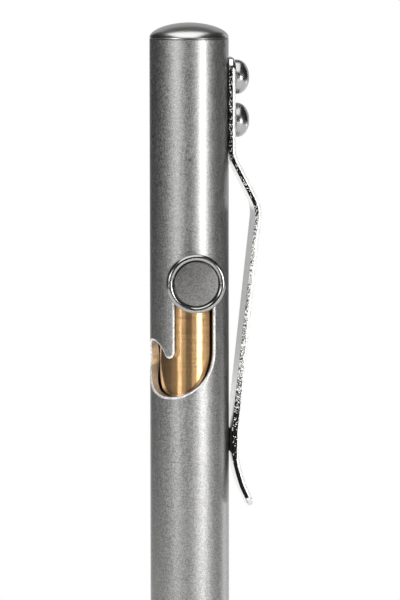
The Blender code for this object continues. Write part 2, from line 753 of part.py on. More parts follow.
def add_refill_point(parts, material):
    """Writing point with the cup that holds its ball."""
    cup_r = BALL_DIA / 2 + HOLE_GAP / 4
    lip_z = TIP_DEPTH + BALL_SHOW
    shank_top = SHOULDER_Z - REFILL_WALL
    profile = [
        (SHANK_DIA / 2, shank_top),
        (SHANK_DIA / 2, NECK_Z - SEAT_GAP),
        (POINT_DIA / 2, NECK_Z - SEAT_GAP),
        (POINT_DIA / 2, TIP_DEPTH + POINT_CONE),
        (POINT_LIP_DIA / 2, lip_z),
        (cup_r, lip_z),
        (cup_r, TIP_DEPTH + BALL_DIA + SEAT_GAP),
        (INK_BORE_DIA / 2, TIP_DEPTH + BALL_DIA + 2 * SEAT_GAP),
        (INK_BORE_DIA / 2, shank_top),
    ]
    return add_turned("refill_point", profile, parts, material, SMALL_STEPS, hollow=True)


def add_refill_ball(parts, material):
    """Writing ball."""
    mesh = bpy.data.meshes.new("refill_ball")
    form = bmesh.new()
    bmesh.ops.create_uvsphere(form, u_segments=BALL_STEPS, v_segments=BALL_STEPS, radius=BALL_DIA / 2)
    form.to_mesh(mesh)
    form.free()
    mesh.shade_smooth()
    ball = add_object("refill_ball", mesh, parts, material)
    ball.location = (0.0, 0.0, TIP_DEPTH + BALL_DIA / 2)
    return ball


def add_return_spring(parts, material):
    """Compression spring with closed end coils, from the nose seat to the refill's shoulder."""
    wire_r = SPRING_WIRE / 2
    low = SPRING_SEAT + SEAT_GAP + wire_r
    high = SHOULDER_Z - SEAT_GAP - wire_r
    pitch = (high - low - 2 * SPRING_END_PITCH) / SPRING_COILS
    helix_r = SPRING_DIA / 2 - wire_r
    turns = SPRING_COILS + 2
    points = []
    for step in range(turns * COIL_STEPS + 1):
        turn = step / COIL_STEPS
        active = min(max(turn - 1, 0.0), SPRING_COILS)
        height = low + pitch * active + SPRING_END_PITCH * (turn - active)
        angle = math.tau * turn
        points.append((helix_r * math.cos(angle), helix_r * math.sin(angle), height))
    curve = bpy.data.curves.new("return_spring", "CURVE")
    curve.dimensions = "3D"
    curve.bevel_depth = wire_r
    curve.bevel_resolution = 1
    curve.use_fill_caps = True
    spline = curve.splines.new("POLY")
    spline.points.add(len(points) - 1)
    for knot, spot in zip(spline.points, points):
        knot.co = (*spot, 1.0)
    return add_object("return_spring", curve, parts, material)


def carry(name, height, pieces, collection):
    """Parent pieces that move together to an empty on the pen's axis."""
    carrier = bpy.data.objects.new(name, None)
    carrier.location = (0.0, 0.0, height)
    collection.objects.link(carrier)
    bpy.context.view_layer.update()
    for piece in pieces:
        piece.parent = carrier
        piece.matrix_parent_inverse = carrier.matrix_world.inverted()


def main():
    """Build the pen."""
    clear_scene()
    parts = add_collection("bolt_action_pen")
    tools = add_collection("cutters")
    blasted = add_material("blasted_titanium", (0.40, 0.39, 0.38), 0.42)
    polished = add_material("polished_titanium", (0.58, 0.57, 0.56), 0.12)
    spring_metal = add_material("clip_titanium", (0.52, 0.51, 0.50), 0.30)
    screw_steel = add_material("screw_steel", (0.55, 0.55, 0.55), 0.15)
    bronze = add_material("turned_bronze", (0.52, 0.30, 0.16), 0.28)
    coin_metal = add_material("coin_titanium", (0.50, 0.49, 0.48), 0.35)
    wire_steel = add_material("spring_steel", (0.56, 0.56, 0.57), 0.25)
    refill_steel = add_material("refill_steel", (0.62, 0.62, 0.63), 0.22)
    point_brass = add_material("point_brass", (0.70, 0.55, 0.28), 0.22)
    ball_carbide = add_material("ball_carbide", (0.45, 0.45, 0.47), 0.10)
    tail_plastic = add_material("tail_plastic", (0.03, 0.03, 0.035), 0.45, 0.0)
    ring_rubber = add_material("ring_rubber", (0.02, 0.02, 0.02), 0.60, 0.0)

    add_barrel(parts, tools, blasted)
    add_end_plug(parts, tools, polished)
    add_clip(parts, tools, spring_metal)
    for label, height in zip(("upper", "lower"), clip_screw_heights()):
        add_clip_screw(label, height, parts, tools, screw_steel)
    front = add_front_section(parts, blasted)
    ring = add_front_ring(parts, ring_rubber)
    spring = add_return_spring(parts, wire_steel)
    carry("front_axis", FRONT_LENGTH, [front, ring, spring], parts)
    carriage = [
        add_plunger(parts, tools, bronze),
        add_bolt_knob(parts, polished),
        add_knob_coin(parts, coin_metal),
        add_knob_screw(parts, tools, screw_steel),
        add_refill_tube(parts, refill_steel),
        add_refill_tail(parts, tools, tail_plastic),
        add_refill_point(parts, point_brass),
        add_refill_ball(parts, ball_carbide),
    ]
    carry("bolt_axis", BOLT_Z, carriage, parts)


main()
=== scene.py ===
"""Looks of a bolt action pen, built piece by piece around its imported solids.

Lengths are in metres.  The pen stands tip down on the Z axis, the straight leg of its slot faces -Y, the
hook runs towards -X and the pocket clip stands on the +X side.
"""

import math

import bmesh
import bpy
from mathutils import Matrix, Vector


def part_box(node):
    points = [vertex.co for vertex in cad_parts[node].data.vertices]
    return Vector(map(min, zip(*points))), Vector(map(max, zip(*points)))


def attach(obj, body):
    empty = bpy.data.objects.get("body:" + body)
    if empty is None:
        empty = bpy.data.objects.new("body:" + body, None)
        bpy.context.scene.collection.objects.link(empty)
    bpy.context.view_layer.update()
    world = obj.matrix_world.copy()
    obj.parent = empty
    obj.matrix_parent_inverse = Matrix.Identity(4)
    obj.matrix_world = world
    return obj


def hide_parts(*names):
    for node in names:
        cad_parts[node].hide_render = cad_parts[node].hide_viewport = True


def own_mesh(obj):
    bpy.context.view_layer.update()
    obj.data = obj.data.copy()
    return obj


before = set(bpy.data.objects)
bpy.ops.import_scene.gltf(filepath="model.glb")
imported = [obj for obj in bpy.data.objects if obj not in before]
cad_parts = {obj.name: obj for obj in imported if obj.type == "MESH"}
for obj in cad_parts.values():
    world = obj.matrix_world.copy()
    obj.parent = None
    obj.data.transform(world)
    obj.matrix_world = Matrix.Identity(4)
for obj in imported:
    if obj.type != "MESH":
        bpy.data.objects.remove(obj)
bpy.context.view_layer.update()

bl_info = {
    "name": "Bolt Action Pen",
    "version": (1, 0, 0),
    "blender": (4, 5, 0),
    "location": "3D View > Sidebar > Pen",
    "description": "Builds the visible pieces of a bolt action pen around its solids",
    "category": "Add Mesh",
}

# Facets round or along each kind of form
BODY_STEPS = 192
SMALL_STEPS = 96
CURVE_STEPS = 40
EDGE_STEPS = 6
RIM_STEPS = 12
NOSE_STEPS = 10
BALL_STEPS = 32
SEAL_STEPS = 28
HOOK_STEPS = 96
MILL_STEPS = 400
CAP_STEPS = 31
BEND_STEPS = 24
CORNER_STEPS = 12
BROW_STEPS = 8
COIL_STEPS = 48
WIRE_STEPS = 14
MARK_STEPS = 6
FLOOR_STEPS = 96
PANEL_STEPS = 24

# Distances between the rings of facets along straight sides
CLIP_SPACING = 0.0003
GRIP_SPACING = 0.001
THREAD_SPACING = 0.00006
SCREW_SPACING = 0.000055

# Clearances and small features shared with the solids
GAP = 0.00005
HOLE_GAP = 0.0001
OVERRUN = 0.0002
CHAMFER = 0.0003
STEM_ROOM = 0.00015
SEAT_SINK = 0.001
SCREW_R = 0.00125
SCREW_HOLE = 0.00135
SCREW_TAP = 0.0013
SCREW_PITCH = 0.00045
SCREW_DEPTH = 0.00026
SCREW_NECK = 0.0006

# Stretch above and below the bolt's rest where the barrel has the finest rings of facets
SLOT_ABOVE = 0.004
SLOT_BELOW = 0.019

# Share of the milling tool's radius inside which it clears a wall
CLEARED = 0.999

# Rounds in which a wall's place on the milling tool settles
MILL_ROUNDS = 12

# Clip: share of the tail after which its full edge fades, share of a corner that stays satin at the tip
TAIL_FADE = 0.7
TIP_BARE = 0.8

# Thread form: share of the pitch that is flat on the crest and in the root
THREAD_LAND = 0.12

# Rounded edge of the slot, in shares of its width: depth down the wall, depth and reach of its corner, rise
EDGE_DEPTH = 0.6
EDGE_SINK = 0.08
EDGE_REACH = 0.3
EDGE_RISE = 0.06

# Finishes: middle of a noise, how far a grain's brightness shows in its roughness, turn of a shine that is
# drawn out across the tool marks, and fineness of marks by axis
NOISE_MIDDLE = (0.25, 0.75)
GRAIN_ROUGHNESS = 0.7
QUARTER_TURN = 0.25
TURNED_MARKS = (0.04, 0.04, 1.0)
RUBBED_MARKS = (1.0, 1.0, 0.25)

# Torn bright flecks along the clip's cut edge: height and share of the grains. The share also paints light
# and shade along the edge: near black towards the tip, light along the long run, dark at the first bend and
# dim on the foot
EDGE_FLECKS_AND_PAINTED_SHADE = (
    (0.078, 0.0),
    (0.0865, 0.03),
    (0.0905, 0.12),
    (0.0945, 0.3),
    (0.098, 0.44),
    (0.1155, 0.48),
    (0.1185, 0.4),
    (0.1205, 0.1),
    (0.127, 0.08),
    (0.129, 0.13),
    (0.1425, 0.16),
)

# Floor: radius, where its fade into the white starts and ends, and its depth under the nose
FLOOR_RADIUS = 4.0
FLOOR_FADE = (0.10, 0.20)
FLOOR_DEPTH = 0.009

# Dark cloth round the pen: start and end in degrees from the camera, foot, top, distance from the axis
FLAG_RING = (-152.0, 152.0, -0.008, 0.9, 0.47)
# Dark cloth over the pen: start and end of the arch in degrees, its radius and half its width
FLAG_ROOF = (20.0, 158.0, 0.62, 0.7)

# Lit panels, all at one distance from the axis: name, share of a power, that power, start and end in degrees
# from the camera, foot and top
PANEL_FAR = 0.45
PANELS = (
    ("left_core", 1.38, "left_power", -50.0, -30.0, 0.137, 0.28),
    ("left_mid", 0.06, "left_power", -50.0, -30.0, 0.060, 0.13),
    ("left_foot", 3.6, "left_power", -46.0, -31.0, 0.044, 0.058),
    ("left_inner", 0.8, "left_power", -30.0, -15.0, 0.10, 0.18),
    ("left_rim", 0.20, "left_power", -74.0, -50.0, 0.09, 0.25),
    ("right_core", 1.0, "right_power", 31.0, 48.5, 0.067, 0.17),
    ("right_wide", 0.36, "right_power", 48.5, 62.0, 0.045, 0.063),
    ("right_near", 0.24, "right_power", 27.0, 48.5, 0.045, 0.067),
    ("right_low", 0.12, "low_power", 28.0, 38.0, -0.008, 0.03),
    ("near_low", 0.6, "low_power", 10.0, 28.0, -0.008, 0.03),
    ("side_low", 0.7, "low_power", 110.0, 130.0, -0.008, 0.03),
    ("left_low", 0.04, "low_power", -150.0, -120.0, -0.008, 0.03),
    ("back", 0.9, "back_power", 134.0, 152.0, -0.008, 0.35),
    ("rear_card", 0.52, "back_power", 152.0, 208.0, 0.06, 0.9),
)
# Lit panels overhead: name, share of the top power, start and end of the arch in degrees, radius of the
# arch, half its width and its shift to the right, and the height from which every arch rises
ROOF_PANELS = (
    ("top", 1.0, 36.0, 111.0, 0.55, 0.29, -0.06),
    ("rear", 0.02, 111.0, 156.0, 0.55, 0.45, 0.0),
)
ROOF_FOOT = 0.14


def top_of(node):
    """Highest point of a solid."""
    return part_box(node)[1].z


def foot_of(node):
    """Lowest point of a solid."""
    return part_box(node)[0].z


def width_of(node, axis):
    """Extent of a solid along an axis."""
    low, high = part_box(node)
    return high[axis] - low[axis]


def middle_of(node):
    """Height of a solid's middle."""
    low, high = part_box(node)
    return (low.z + high.z) / 2


def size(label, meaning, default):
    """A length that a user may change."""
    return bpy.props.FloatProperty(
        name=label, description=meaning, default=default, min=0.0, unit="LENGTH", precision=5
    )


def angle(label, meaning, degrees):
    """An angle that a user may change."""
    return bpy.props.FloatProperty(
        name=label, description=meaning, default=math.radians(degrees), subtype="ANGLE"
    )


def share(label, meaning, default):
    """A part of a whole that a user may change."""
    return bpy.props.FloatProperty(
        name=label, description=meaning, default=default, min=0.0, max=1.0, subtype="FACTOR"
    )


def number(label, meaning, default, high, unit="NONE"):
    """A number up to a limit that a user may change."""
    return bpy.props.FloatProperty(
        name=label, description=meaning, default=default, min=0.0, max=high, unit=unit
    )


def colour(label, meaning, default):
    """A colour that a user may change."""
    return bpy.props.FloatVectorProperty(
        name=label, description=meaning, default=default, size=3, min=0.0, max=1.0, subtype="COLOR"
    )


class PenBody(bpy.types.PropertyGroup):
    """Barrel, end plug and front section."""

    length: size("Length", "Nose face to the top of the dome", top_of("end_plug"))
    diameter: size("Diameter", "Outside of the barrel", width_of("barrel", 1))
    wall: size("Wall", "Thickness of the barrel", 0.0011)
    rim: size("Dome rim", "Height of the seam under the dome", top_of("barrel") + GAP)
    fullness: number("Dome fullness", "2 is an ellipse, less falls away sooner", 1.88, 4.0)
    seam: size("Seam", "Height of the seam between front section and barrel", foot_of("barrel") - GAP)
    edge: size("Seam edge", "Chamfer beside each seam", 0.00010)
    plug_foot: size("Plug foot", "Height of the end plug's lower end", foot_of("end_plug"))
    nose_face: size("Nose face", "Diameter of the nose's flat face", 0.0050)
    nose_length: size("Nose length", "Height of the nose's taper", 0.0200)
    thread_depth: size("Thread depth", "Depth of the front section's thread", 0.00035)
    thread_pitch: size("Thread pitch", "Distance between the thread's two starts", 0.00075)


class PenSlot(bpy.types.PropertyGroup):
    """J slot, with its path measured on the barrel's surface."""

    rest: size("Rest", "Height of the bolt at rest", middle_of("bolt_knob"))
    width: size("Width", "Diameter of the milling tool", 0.0054)
    edge: size("Edge", "Width of the rounded edge", 0.00036)
    leg: size("Leg", "Length of the straight leg", 0.0095)
    hook: size("Hook radius", "Radius of the tool's path round the hook", 0.00382)
    sweep: angle("Hook sweep", "How far the hook turns", 156.0)


class PenBolt(bpy.types.PropertyGroup):
    """Knob, coin, screw and plunger."""

    knob: size("Knob", "Diameter of the knob", width_of("bolt_knob", 0))
    lift: size("Lift", "Room between barrel and knob", 0.0003)
    thick: size("Thickness", "Thickness of the knob", 0.0016)
    rim: size("Rim", "Width of the knob's rim", 0.0009)
    rim_round: size("Rim round", "Radius on the rim's edges", 0.0004)
    coin_gap: size("Coin gap", "Groove between coin and rim", 0.00013)
    coin_sink: size("Coin sink", "Depth of the coin's face below the rim", 0.00015)
    coin_thick: size("Coin thickness", "Thickness of the coin", 0.0005)
    play: size("Play", "Room between plunger and barrel", 0.00028)
    ripple: size("Tool mark pitch", "Distance between the plunger's tool marks", 0.00026)
    ripple_depth: size("Tool mark depth", "Depth of the plunger's tool marks", 0.000001)


class PenClip(bpy.types.PropertyGroup):
    """Pocket clip and its screws, with the strip described along its inner face."""

    width: size("Width", "Width of the strip", width_of("pocket_clip", 1))
    thick: size("Thickness", "Thickness of the strip", 0.00095)
    top: size("Top", "Height of the clip's top end", top_of("pocket_clip"))
    foot: size("Foot", "Length of the flat foot", 0.0126)
    seat: size("Seat", "Depth of the barrel's flat under the foot", 0.00028)
    corner: size("Corner", "Radius of the strip's corners", 0.0016)
    edge: size("Inner edge", "Radius along the inner face's edges", 0.00012)
    brow: size("Outer edge", "Radius along the outer face's edges", 0.00042)
    full: size("Full outer edge", "Height down to which the outer edge keeps its radius", 0.105)
    slim: size("Slim outer edge", "Height where the outer edge is as sharp as the inner", 0.093)
    tail: size("Tail", "Length of the tip with the full outer edge again", 0.0095)
    # Grip and the length under it bound a near-black patch on the clip's inner face: painted contact shadow
    # where the clip meets the barrel
    grip: size("Grip", "Upper end of the painted contact shadow on the barrel", 0.0888)
    painted_shade_length: size("Rub", "Length of the painted contact shadow on the barrel", 0.0032)
    lift: angle("Lift", "Slope of the strip's rise from the barrel", 27.2)
    lift_radius: size("Lift radius", "Radius of the first bend", 0.0048)
    bulge: size("Bulge", "Distance from the barrel to the strip's crest", 0.0034)
    bulge_radius: size("Bulge radius", "Radius of the crest", 0.0044)
    fall: angle("Fall", "Slope of the long run back to the barrel", 6.3)
    touch_radius: size("Touch radius", "Radius of the bend that touches the barrel", 0.0175)
    rise: angle("Rise", "Slope after the touching bend", 16.5)
    rise_run: size("Rise run", "Straight run after the touching bend", 0.0010)
    flare: angle("Flare", "Slope of the tip", 25.0)
    flare_radius: size("Flare radius", "Radius of the tip's bend", 0.0090)
    flare_run: size("Flare run", "Straight run before the tip's corners", 0.0010)
    head: size("Screw head", "Diameter of the clip screws' heads", width_of("clip_screw_upper", 1))
    head_height: size("Screw head height", "Height of the clip screws' heads", 0.00215)
    brim: size("Screw brim", "Straight side under the clip screws' domes", 0.00045)
    key: size("Screw key", "Width across the flats of the clip screws' sockets", 0.0015)
    key_depth: size("Key depth", "Depth of the clip screws' sockets", 0.0011)


class PenFinish(bpy.types.PropertyGroup):
    """Colours and roughness of the metals."""

    titanium: colour("Titanium", "Blasted barrel and front section", (0.42, 0.418, 0.413))
    bright: colour("Bright titanium", "Dome and front of the clip", (0.54, 0.537, 0.53))
    strip: colour("Clip", "Inner face and ends of the clip", (0.84, 0.835, 0.825))
    cut: colour("Clip edges", "Cut edges of the clip", (0.40, 0.395, 0.385))
    # Near-black colour of that patch on the clip's inner face: painted contact shadow beside the barrel
    painted_contact_shade: colour("Painted contact shade", "Painted contact shadow where the clip meets the barrel", (0.05, 0.05, 0.048))
    knob: colour("Knob", "Rimmed knob", (0.42, 0.417, 0.41))
    edge: colour("Broken edges", "Edge and walls of the slot, round edges of the clip", (0.88, 0.875, 0.865))
    coin: colour("Coin", "Bare disc in the knob", (0.24, 0.237, 0.23))
    screw: colour("Screws", "Clip screws and knob screw", (0.46, 0.46, 0.455))
    bronze: colour("Bronze", "Plunger", (0.66, 0.41, 0.196))
    blast: share("Blasted roughness", "Roughness of the blasted surfaces", 0.385)


class PenStudio(bpy.types.PropertyGroup):
    """Camera and light."""

    azimuth: angle("Azimuth", "Camera's turn round the pen", -7.95)
    elevation: angle("Elevation", "Camera's height over the horizon", 5.65)
    distance: size("Distance", "Camera to the pen's axis", 0.730)
    lens: number("Lens", "Focal length", 314.0, 2000.0, unit="CAMERA")
    roll: angle("Roll", "Camera's lean", -0.07)
    aim_side: size("Aim side", "Middle of the view to the right of the axis", 0.00148)
    aim_height: size("Aim height", "Height of the middle of the view", 0.10710)
    right_power: number("Right panels", "Radiance of the right panels", 13.0, 50.0)
    left_power: number("Left panels", "Radiance of the left panels", 3.1, 50.0)
    low_power: number("Low panels", "Radiance of the low panels", 5.4, 50.0)
    back_power: number("Back panels", "Radiance of the panels at the back", 1.0, 50.0)
    top_power: number("Top panels", "Radiance of the overhead panels", 1.9, 50.0)
    fill: number("Fill", "Level of light from all round on matt surfaces", 0.90, 5.0)


class Pen(bpy.types.PropertyGroup):
    """Everything that can be set on the pen."""

    body: bpy.props.PointerProperty(type=PenBody, name="Body", description="Barrel and its ends")
    slot: bpy.props.PointerProperty(type=PenSlot, name="Slot", description="J slot")
    bolt: bpy.props.PointerProperty(type=PenBolt, name="Bolt", description="Knob and plunger")
    clip: bpy.props.PointerProperty(type=PenClip, name="Clip", description="Clip and its screws")
    finish: bpy.props.PointerProperty(type=PenFinish, name="Finish", description="Looks of the metals")
    studio: bpy.props.PointerProperty(type=PenStudio, name="Studio", description="Camera and light")


# Node materials

# Sockets of a colour mix
MIX_SHARE, MIX_FIRST, MIX_SECOND, MIX_RESULT = 0, 6, 7, 2


class Finish:
    """A material under construction, with short calls for the nodes that finishes share."""

    def __init__(self, name, tone, roughness, metallic=1.0):
        self.material = bpy.data.materials.new(name)
        self.material.use_nodes = True
        self.tree = self.material.node_tree
        self.shader = self.tree.nodes["Principled BSDF"]
        self.tone = tuple(tone)
        self.roughness = roughness
        self.shader.inputs["Base Color"].default_value = (*self.tone, 1.0)
        self.shader.inputs["Roughness"].default_value = roughness
        self.shader.inputs["Metallic"].default_value = metallic
        self.place = self.node("ShaderNodeTexCoord").outputs["Object"]

    def node(self, kind, settings=None, **inputs):
        """Add a node with some settings and input values."""
        made = self.tree.nodes.new(kind)
        for key, value in (settings or {}).items():
            setattr(made, key, value)
        for key, value in inputs.items():
            made.inputs[key].default_value = value
        return made

    def link(self, output, socket):
        """Join two sockets."""
        self.tree.links.new(output, socket)

    def scaled(self, grain, stretch=(1.0, 1.0, 1.0)):
        """Object coordinates counted in grains, drawn out along chosen axes."""
        mapping = self.node("ShaderNodeMapping", Scale=[part / grain for part in stretch])
        self.link(self.place, mapping.inputs["Vector"])
        return mapping.outputs["Vector"]

    def noise(self, grain, stretch=(1.0, 1.0, 1.0), detail=2.0):
        """Soft noise with features of about a grain's size."""
        made = self.node("ShaderNodeTexNoise", Scale=1.0, Detail=detail, Roughness=0.55)
        self.link(self.scaled(grain, stretch), made.inputs["Vector"])
        return made.outputs["Fac"]

    def cells(self, grain):
        """A random value for each grain of a cellular surface."""
        made = self.node("ShaderNodeTexVoronoi", Scale=1.0)
        self.link(self.scaled(grain), made.inputs["Vector"])
        split = self.node("ShaderNodeSeparateColor")
        self.link(made.outputs["Color"], split.inputs["Color"])
        return split.outputs["Red"]

    def mapped(self, value, source, target=(0.0, 1.0)):
        """Carry a value from one range over to another, held at its ends."""
        made = self.node("ShaderNodeMapRange")
        for socket, level in zip(("From Min", "From Max", "To Min", "To Max"), (*source, *target)):
            made.inputs[socket].default_value = level
        self.link(value, made.inputs["Value"])
        return made.outputs["Result"]

    def ranged(self, value, low, high):
        """Spread the middle of a noise over a range."""
        return self.mapped(value, NOISE_MIDDLE, (low, high))

    def by_height(self, stops):
        """A value that follows the height through (height, value) stops."""
        split = self.node("ShaderNodeSeparateXYZ")
        self.link(self.place, split.inputs[0])
        low, high = stops[0][0], stops[-1][0]
        ramp = self.node("ShaderNodeValToRGB")
        points = ramp.color_ramp.elements
        for height, _ in stops[1:-1]:
            points.new((height - low) / (high - low))
        for point, (_, value) in zip(points, stops):
            point.color = (value, value, value, 1.0)
        self.link(self.mapped(split.outputs["Z"], (low, high)), ramp.inputs["Fac"])
        return ramp.outputs["Color"]

    def toned(self, level):
        """The tone at a level of brightness."""
        return (*[min(1.0, part * level) for part in self.tone], 1.0)

    def mixed(self, share_of_second, first, second, blend="MIX"):
        """Mix two colours, where each input is a socket or a plain value."""
        mix = self.node("ShaderNodeMix", {"data_type": "RGBA", "blend_type": blend})
        for place, source in ((MIX_SHARE, share_of_second), (MIX_FIRST, first), (MIX_SECOND, second)):
            if isinstance(source, bpy.types.NodeSocket):
                self.link(source, mix.inputs[place])
            else:
                mix.inputs[place].default_value = source
        return mix.outputs[MIX_RESULT]

    def drift(self, patch, spread):
        """The tone, brighter and darker by a spread over patches of a size."""
        return self.mixed(self.noise(patch), self.toned(1.0 - spread), self.toned(1.0 + spread))

    def speckle(self, base, value, low, high):
        """Multiply a colour by a grain's own brightness."""
        return self.mixed(1.0, base, self.ranged(value, low, high), "MULTIPLY")

    def uneven(self, value, spread):
        """The roughness, more and less by a spread as a noise goes."""
        return self.ranged(value, self.roughness * (1.0 - spread), self.roughness * (1.0 + spread))

    def stretch_shine(self, amount):
        """Draw reflections out along the upright axis, across the tool marks that run round it."""
        ring = self.node("ShaderNodeTangent", {"direction_type": "RADIAL", "axis": "Z"})
        self.link(ring.outputs["Tangent"], self.shader.inputs["Tangent"])
        self.shader.inputs["Anisotropic"].default_value = amount
        self.shader.inputs["Anisotropic Rotation"].default_value = QUARTER_TURN

    def raise_by(self, value, depth):
        """Bump the surface by a noise."""
        bump = self.node("ShaderNodeBump", Strength=1.0, Distance=depth)
        self.link(value, bump.inputs["Height"])
        return bump.outputs["Normal"]

    def coat(self, base=None, roughness=None, normal=None):
        """Join what was made to the shader."""
        for output, socket in ((base, "Base Color"), (roughness, "Roughness"), (normal, "Normal")):
            if output:
                self.link(output, self.shader.inputs[socket])
        return self.material


def blasted_metal(name, tone, roughness, grain=0.00011, depth=0.000008, sparkle=0.27, metal=1.0):
    """Bead-blasted metal: even, matt, with fine grains of which the bright ones are the rougher."""
    made = Finish(name, tone, roughness, metal)
    base = made.drift(patch=0.0022, spread=0.02)
    grains = made.cells(grain)
    base = made.speckle(base, grains, 1.0 - sparkle, 1.0 + sparkle)
    rough = made.uneven(grains, GRAIN_ROUGHNESS * sparkle)
    dents = made.raise_by(made.noise(grain, detail=3.0), depth)
    return made.coat(base, rough, dents)


def polished_metal(name, tone, roughness, grain=0.00012, depth=0.0000009, haze=0.2):
    """Polished metal with faint rubbing marks and hazy patches."""
    made = Finish(name, tone, roughness)
    base = made.drift(patch=0.0016, spread=0.04)
    rough = made.uneven(made.noise(grain=0.0007), haze)
    marks = made.raise_by(made.noise(grain, RUBBED_MARKS), depth)
    return made.coat(base, rough, marks)


def turned_metal(name, tone, roughness, grain, depth, streak=0.1, metal=1.0, shine=0.0):
    """Metal from a lathe, with tool marks that run round the pen's axis and a little tarnish."""
    made = Finish(name, tone, roughness, metal)
    base = made.drift(patch=0.0014, spread=0.04)
    base = made.speckle(base, made.noise(2.0 * grain, TURNED_MARKS), 1.0 - streak, 1.0 + streak)
    rough = made.uneven(made.noise(3.0 * grain, TURNED_MARKS), spread=0.1)
    marks = made.raise_by(made.noise(grain, TURNED_MARKS, detail=3.0), depth)
    if shine:
        made.stretch_shine(shine)
    return made.coat(base, rough, marks)


def cut_edge_metal(name, tone, roughness, flecks_and_shade, grain=0.00011, depth=0.000046):
    """Rough cut edge of a strip, with pits and torn bright flecks in (height, share) stops along it; between
    the flecks the share scales the tone, as painted shade and light along the height.
    """
    made = Finish(name, tone, roughness)
    part = made.by_height(flecks_and_shade)
    below = made.node("ShaderNodeMath", {"operation": "LESS_THAN"})
    made.link(made.cells(grain), below.inputs[0])
    made.link(part, below.inputs[1])
    torn = below.outputs[0]
    made.link(made.ranged(torn, low=1.0, high=0.25), made.shader.inputs["Metallic"])
    dull = made.mixed(made.noise(grain=0.0004), made.toned(0.6), made.toned(1.0))
    # Painted shade and light: the tone between the flecks follows the height's share, near black where it is
    # low
    base = made.mixed(torn, made.speckle(dull, part, low=0.05, high=1.7), made.toned(2.2))
    rough = made.uneven(made.noise(grain=0.0003), spread=0.2)
    pits = made.raise_by(made.noise(grain=0.00016), depth)
    return made.coat(base, rough, pits)


def moulded_plastic(name, tone, roughness):
    """Moulded plastic or rubber with a faint skin texture."""
    made = Finish(name, tone, roughness, 0.0)
    base = made.drift(patch=0.0012, spread=0.15)
    rough = made.uneven(made.noise(grain=0.0008), spread=0.1)
    skin = made.raise_by(made.noise(grain=0.0002), depth=0.000004)
    return made.coat(base, rough, skin)


# Meshes


def gone(value, start, end):
    """Share of the way that a value has gone from a start to an end, between 0 and 1."""
    return min(max((value - start) / (end - start), 0.0), 1.0)


def soften(corners, reach, closed=False):
    """Round the corners of a profile, starting at a reach along each edge."""
    points = []
    last = len(corners) - 1
    for index, corner in enumerate(corners):
        if not closed and index in (0, last):
            points.append(corner)
            continue
        here = Vector(corner)
        arms = []
        for other in (corners[index - 1], corners[(index + 1) % len(corners)]):
            way = Vector(other) - here
            arms.append(here + way * min(reach / way.length, 0.45))
        for step in range(EDGE_STEPS + 1):
            along = step / EDGE_STEPS
            spot = arms[0] * (1 - along) ** 2 + here * 2 * along * (1 - along) + arms[1] * along**2
            points.append(tuple(spot))
    return points


def arc(centre, radii, start, end, steps):
    """Points of an elliptical arc, with angles from the radial direction."""
    points = []
    for step in range(steps + 1):
        turn = start + (end - start) * step / steps
        points.append((centre[0] + radii[0] * math.cos(turn), centre[1] + radii[1] * math.sin(turn)))
    return points


def ruled(start, end, spacing):
    """Points along a straight stretch of a profile, without its ends."""
    count = max(1, round(math.dist(start, end) / spacing))
    return [
        (start[0] + (end[0] - start[0]) * step / count, start[1] + (end[1] - start[1]) * step / count)
        for step in range(1, count)
    ]


def ringed(radius, start, stops):
    """Rings of facets along a straight side, from a height through (next height, spacing) stops."""
    points = []
    for height, spacing in stops:
        points += ruled((radius, start), (radius, height), spacing) + [(radius, height)]
        start = height
    return points


def spin(profile, steps, closed=False):
    """Spin a profile of (radius, height) points, listed down its outer side, about the Z axis."""
    form = bmesh.new()
    rings = []
    for radius, height in profile:
        if radius < 1e-8:
            rings.append([form.verts.new((0.0, 0.0, height))])
            continue
        turns = [math.tau * step / steps for step in range(steps)]
        spots = [(radius * math.cos(turn), radius * math.sin(turn), height) for turn in turns]
        rings.append([form.verts.new(spot) for spot in spots])
    pairs = list(zip(rings, rings[1:]))
    if closed:
        pairs.append((rings[-1], rings[0]))
    for above, below in pairs:
        for step in range(steps):
            after = (step + 1) % steps
            if len(above) == 1 and len(below) == 1:
                break
            if len(above) == 1:
                form.faces.new((above[0], below[step], below[after]))
            elif len(below) == 1:
                form.faces.new((above[step], below[0], above[after]))
            else:
                form.faces.new((above[step], below[step], below[after], above[after]))
    return form


def wind_thread(form, low, high, crest, depth, pitch, starts=1):
    """Press a screw thread into the part of a spun form that has the crest's radius."""
    for vert in form.verts:
        radius = math.hypot(vert.co.x, vert.co.y)
        if abs(radius - crest) > 1e-7 or not low < vert.co.z < high:
            continue
        turn = math.atan2(vert.co.y, vert.co.x) / math.tau
        phase = (vert.co.z / pitch - starts * turn) % 1.0
        flank = gone(abs(2 * phase - 1), THREAD_LAND, 1 - THREAD_LAND)
        fade = min(1.0, (vert.co.z - low) / pitch, (high - vert.co.z) / pitch)
        new = crest - depth * flank * fade
        vert.co.x *= new / radius
        vert.co.y *= new / radius


def screw_shank(start, end):
    """Side of a small screw's shank from a height down, ready for its thread, with a chamfered end."""
    tip = end + CHAMFER
    side = ruled((SCREW_R, start), (SCREW_R, tip), SCREW_SPACING)
    return side + [(SCREW_R, tip), (SCREW_R - CHAMFER, end), (0.0, end)]


def wind_screw(form, start, end):
    """Press the thread into a small screw's shank, from a height down to its chamfered end."""
    wind_thread(form, end + CHAMFER, start, SCREW_R, SCREW_DEPTH, SCREW_PITCH)


def lay_along(form, direction, height):
    """Turn a form's own Z axis to +X or -Y at a height on the pen's axis."""
    turn = Matrix.Rotation(math.pi / 2, 4, "Y" if direction == "+X" else "X")
    form.transform(Matrix.Translation((0.0, 0.0, height)) @ turn)


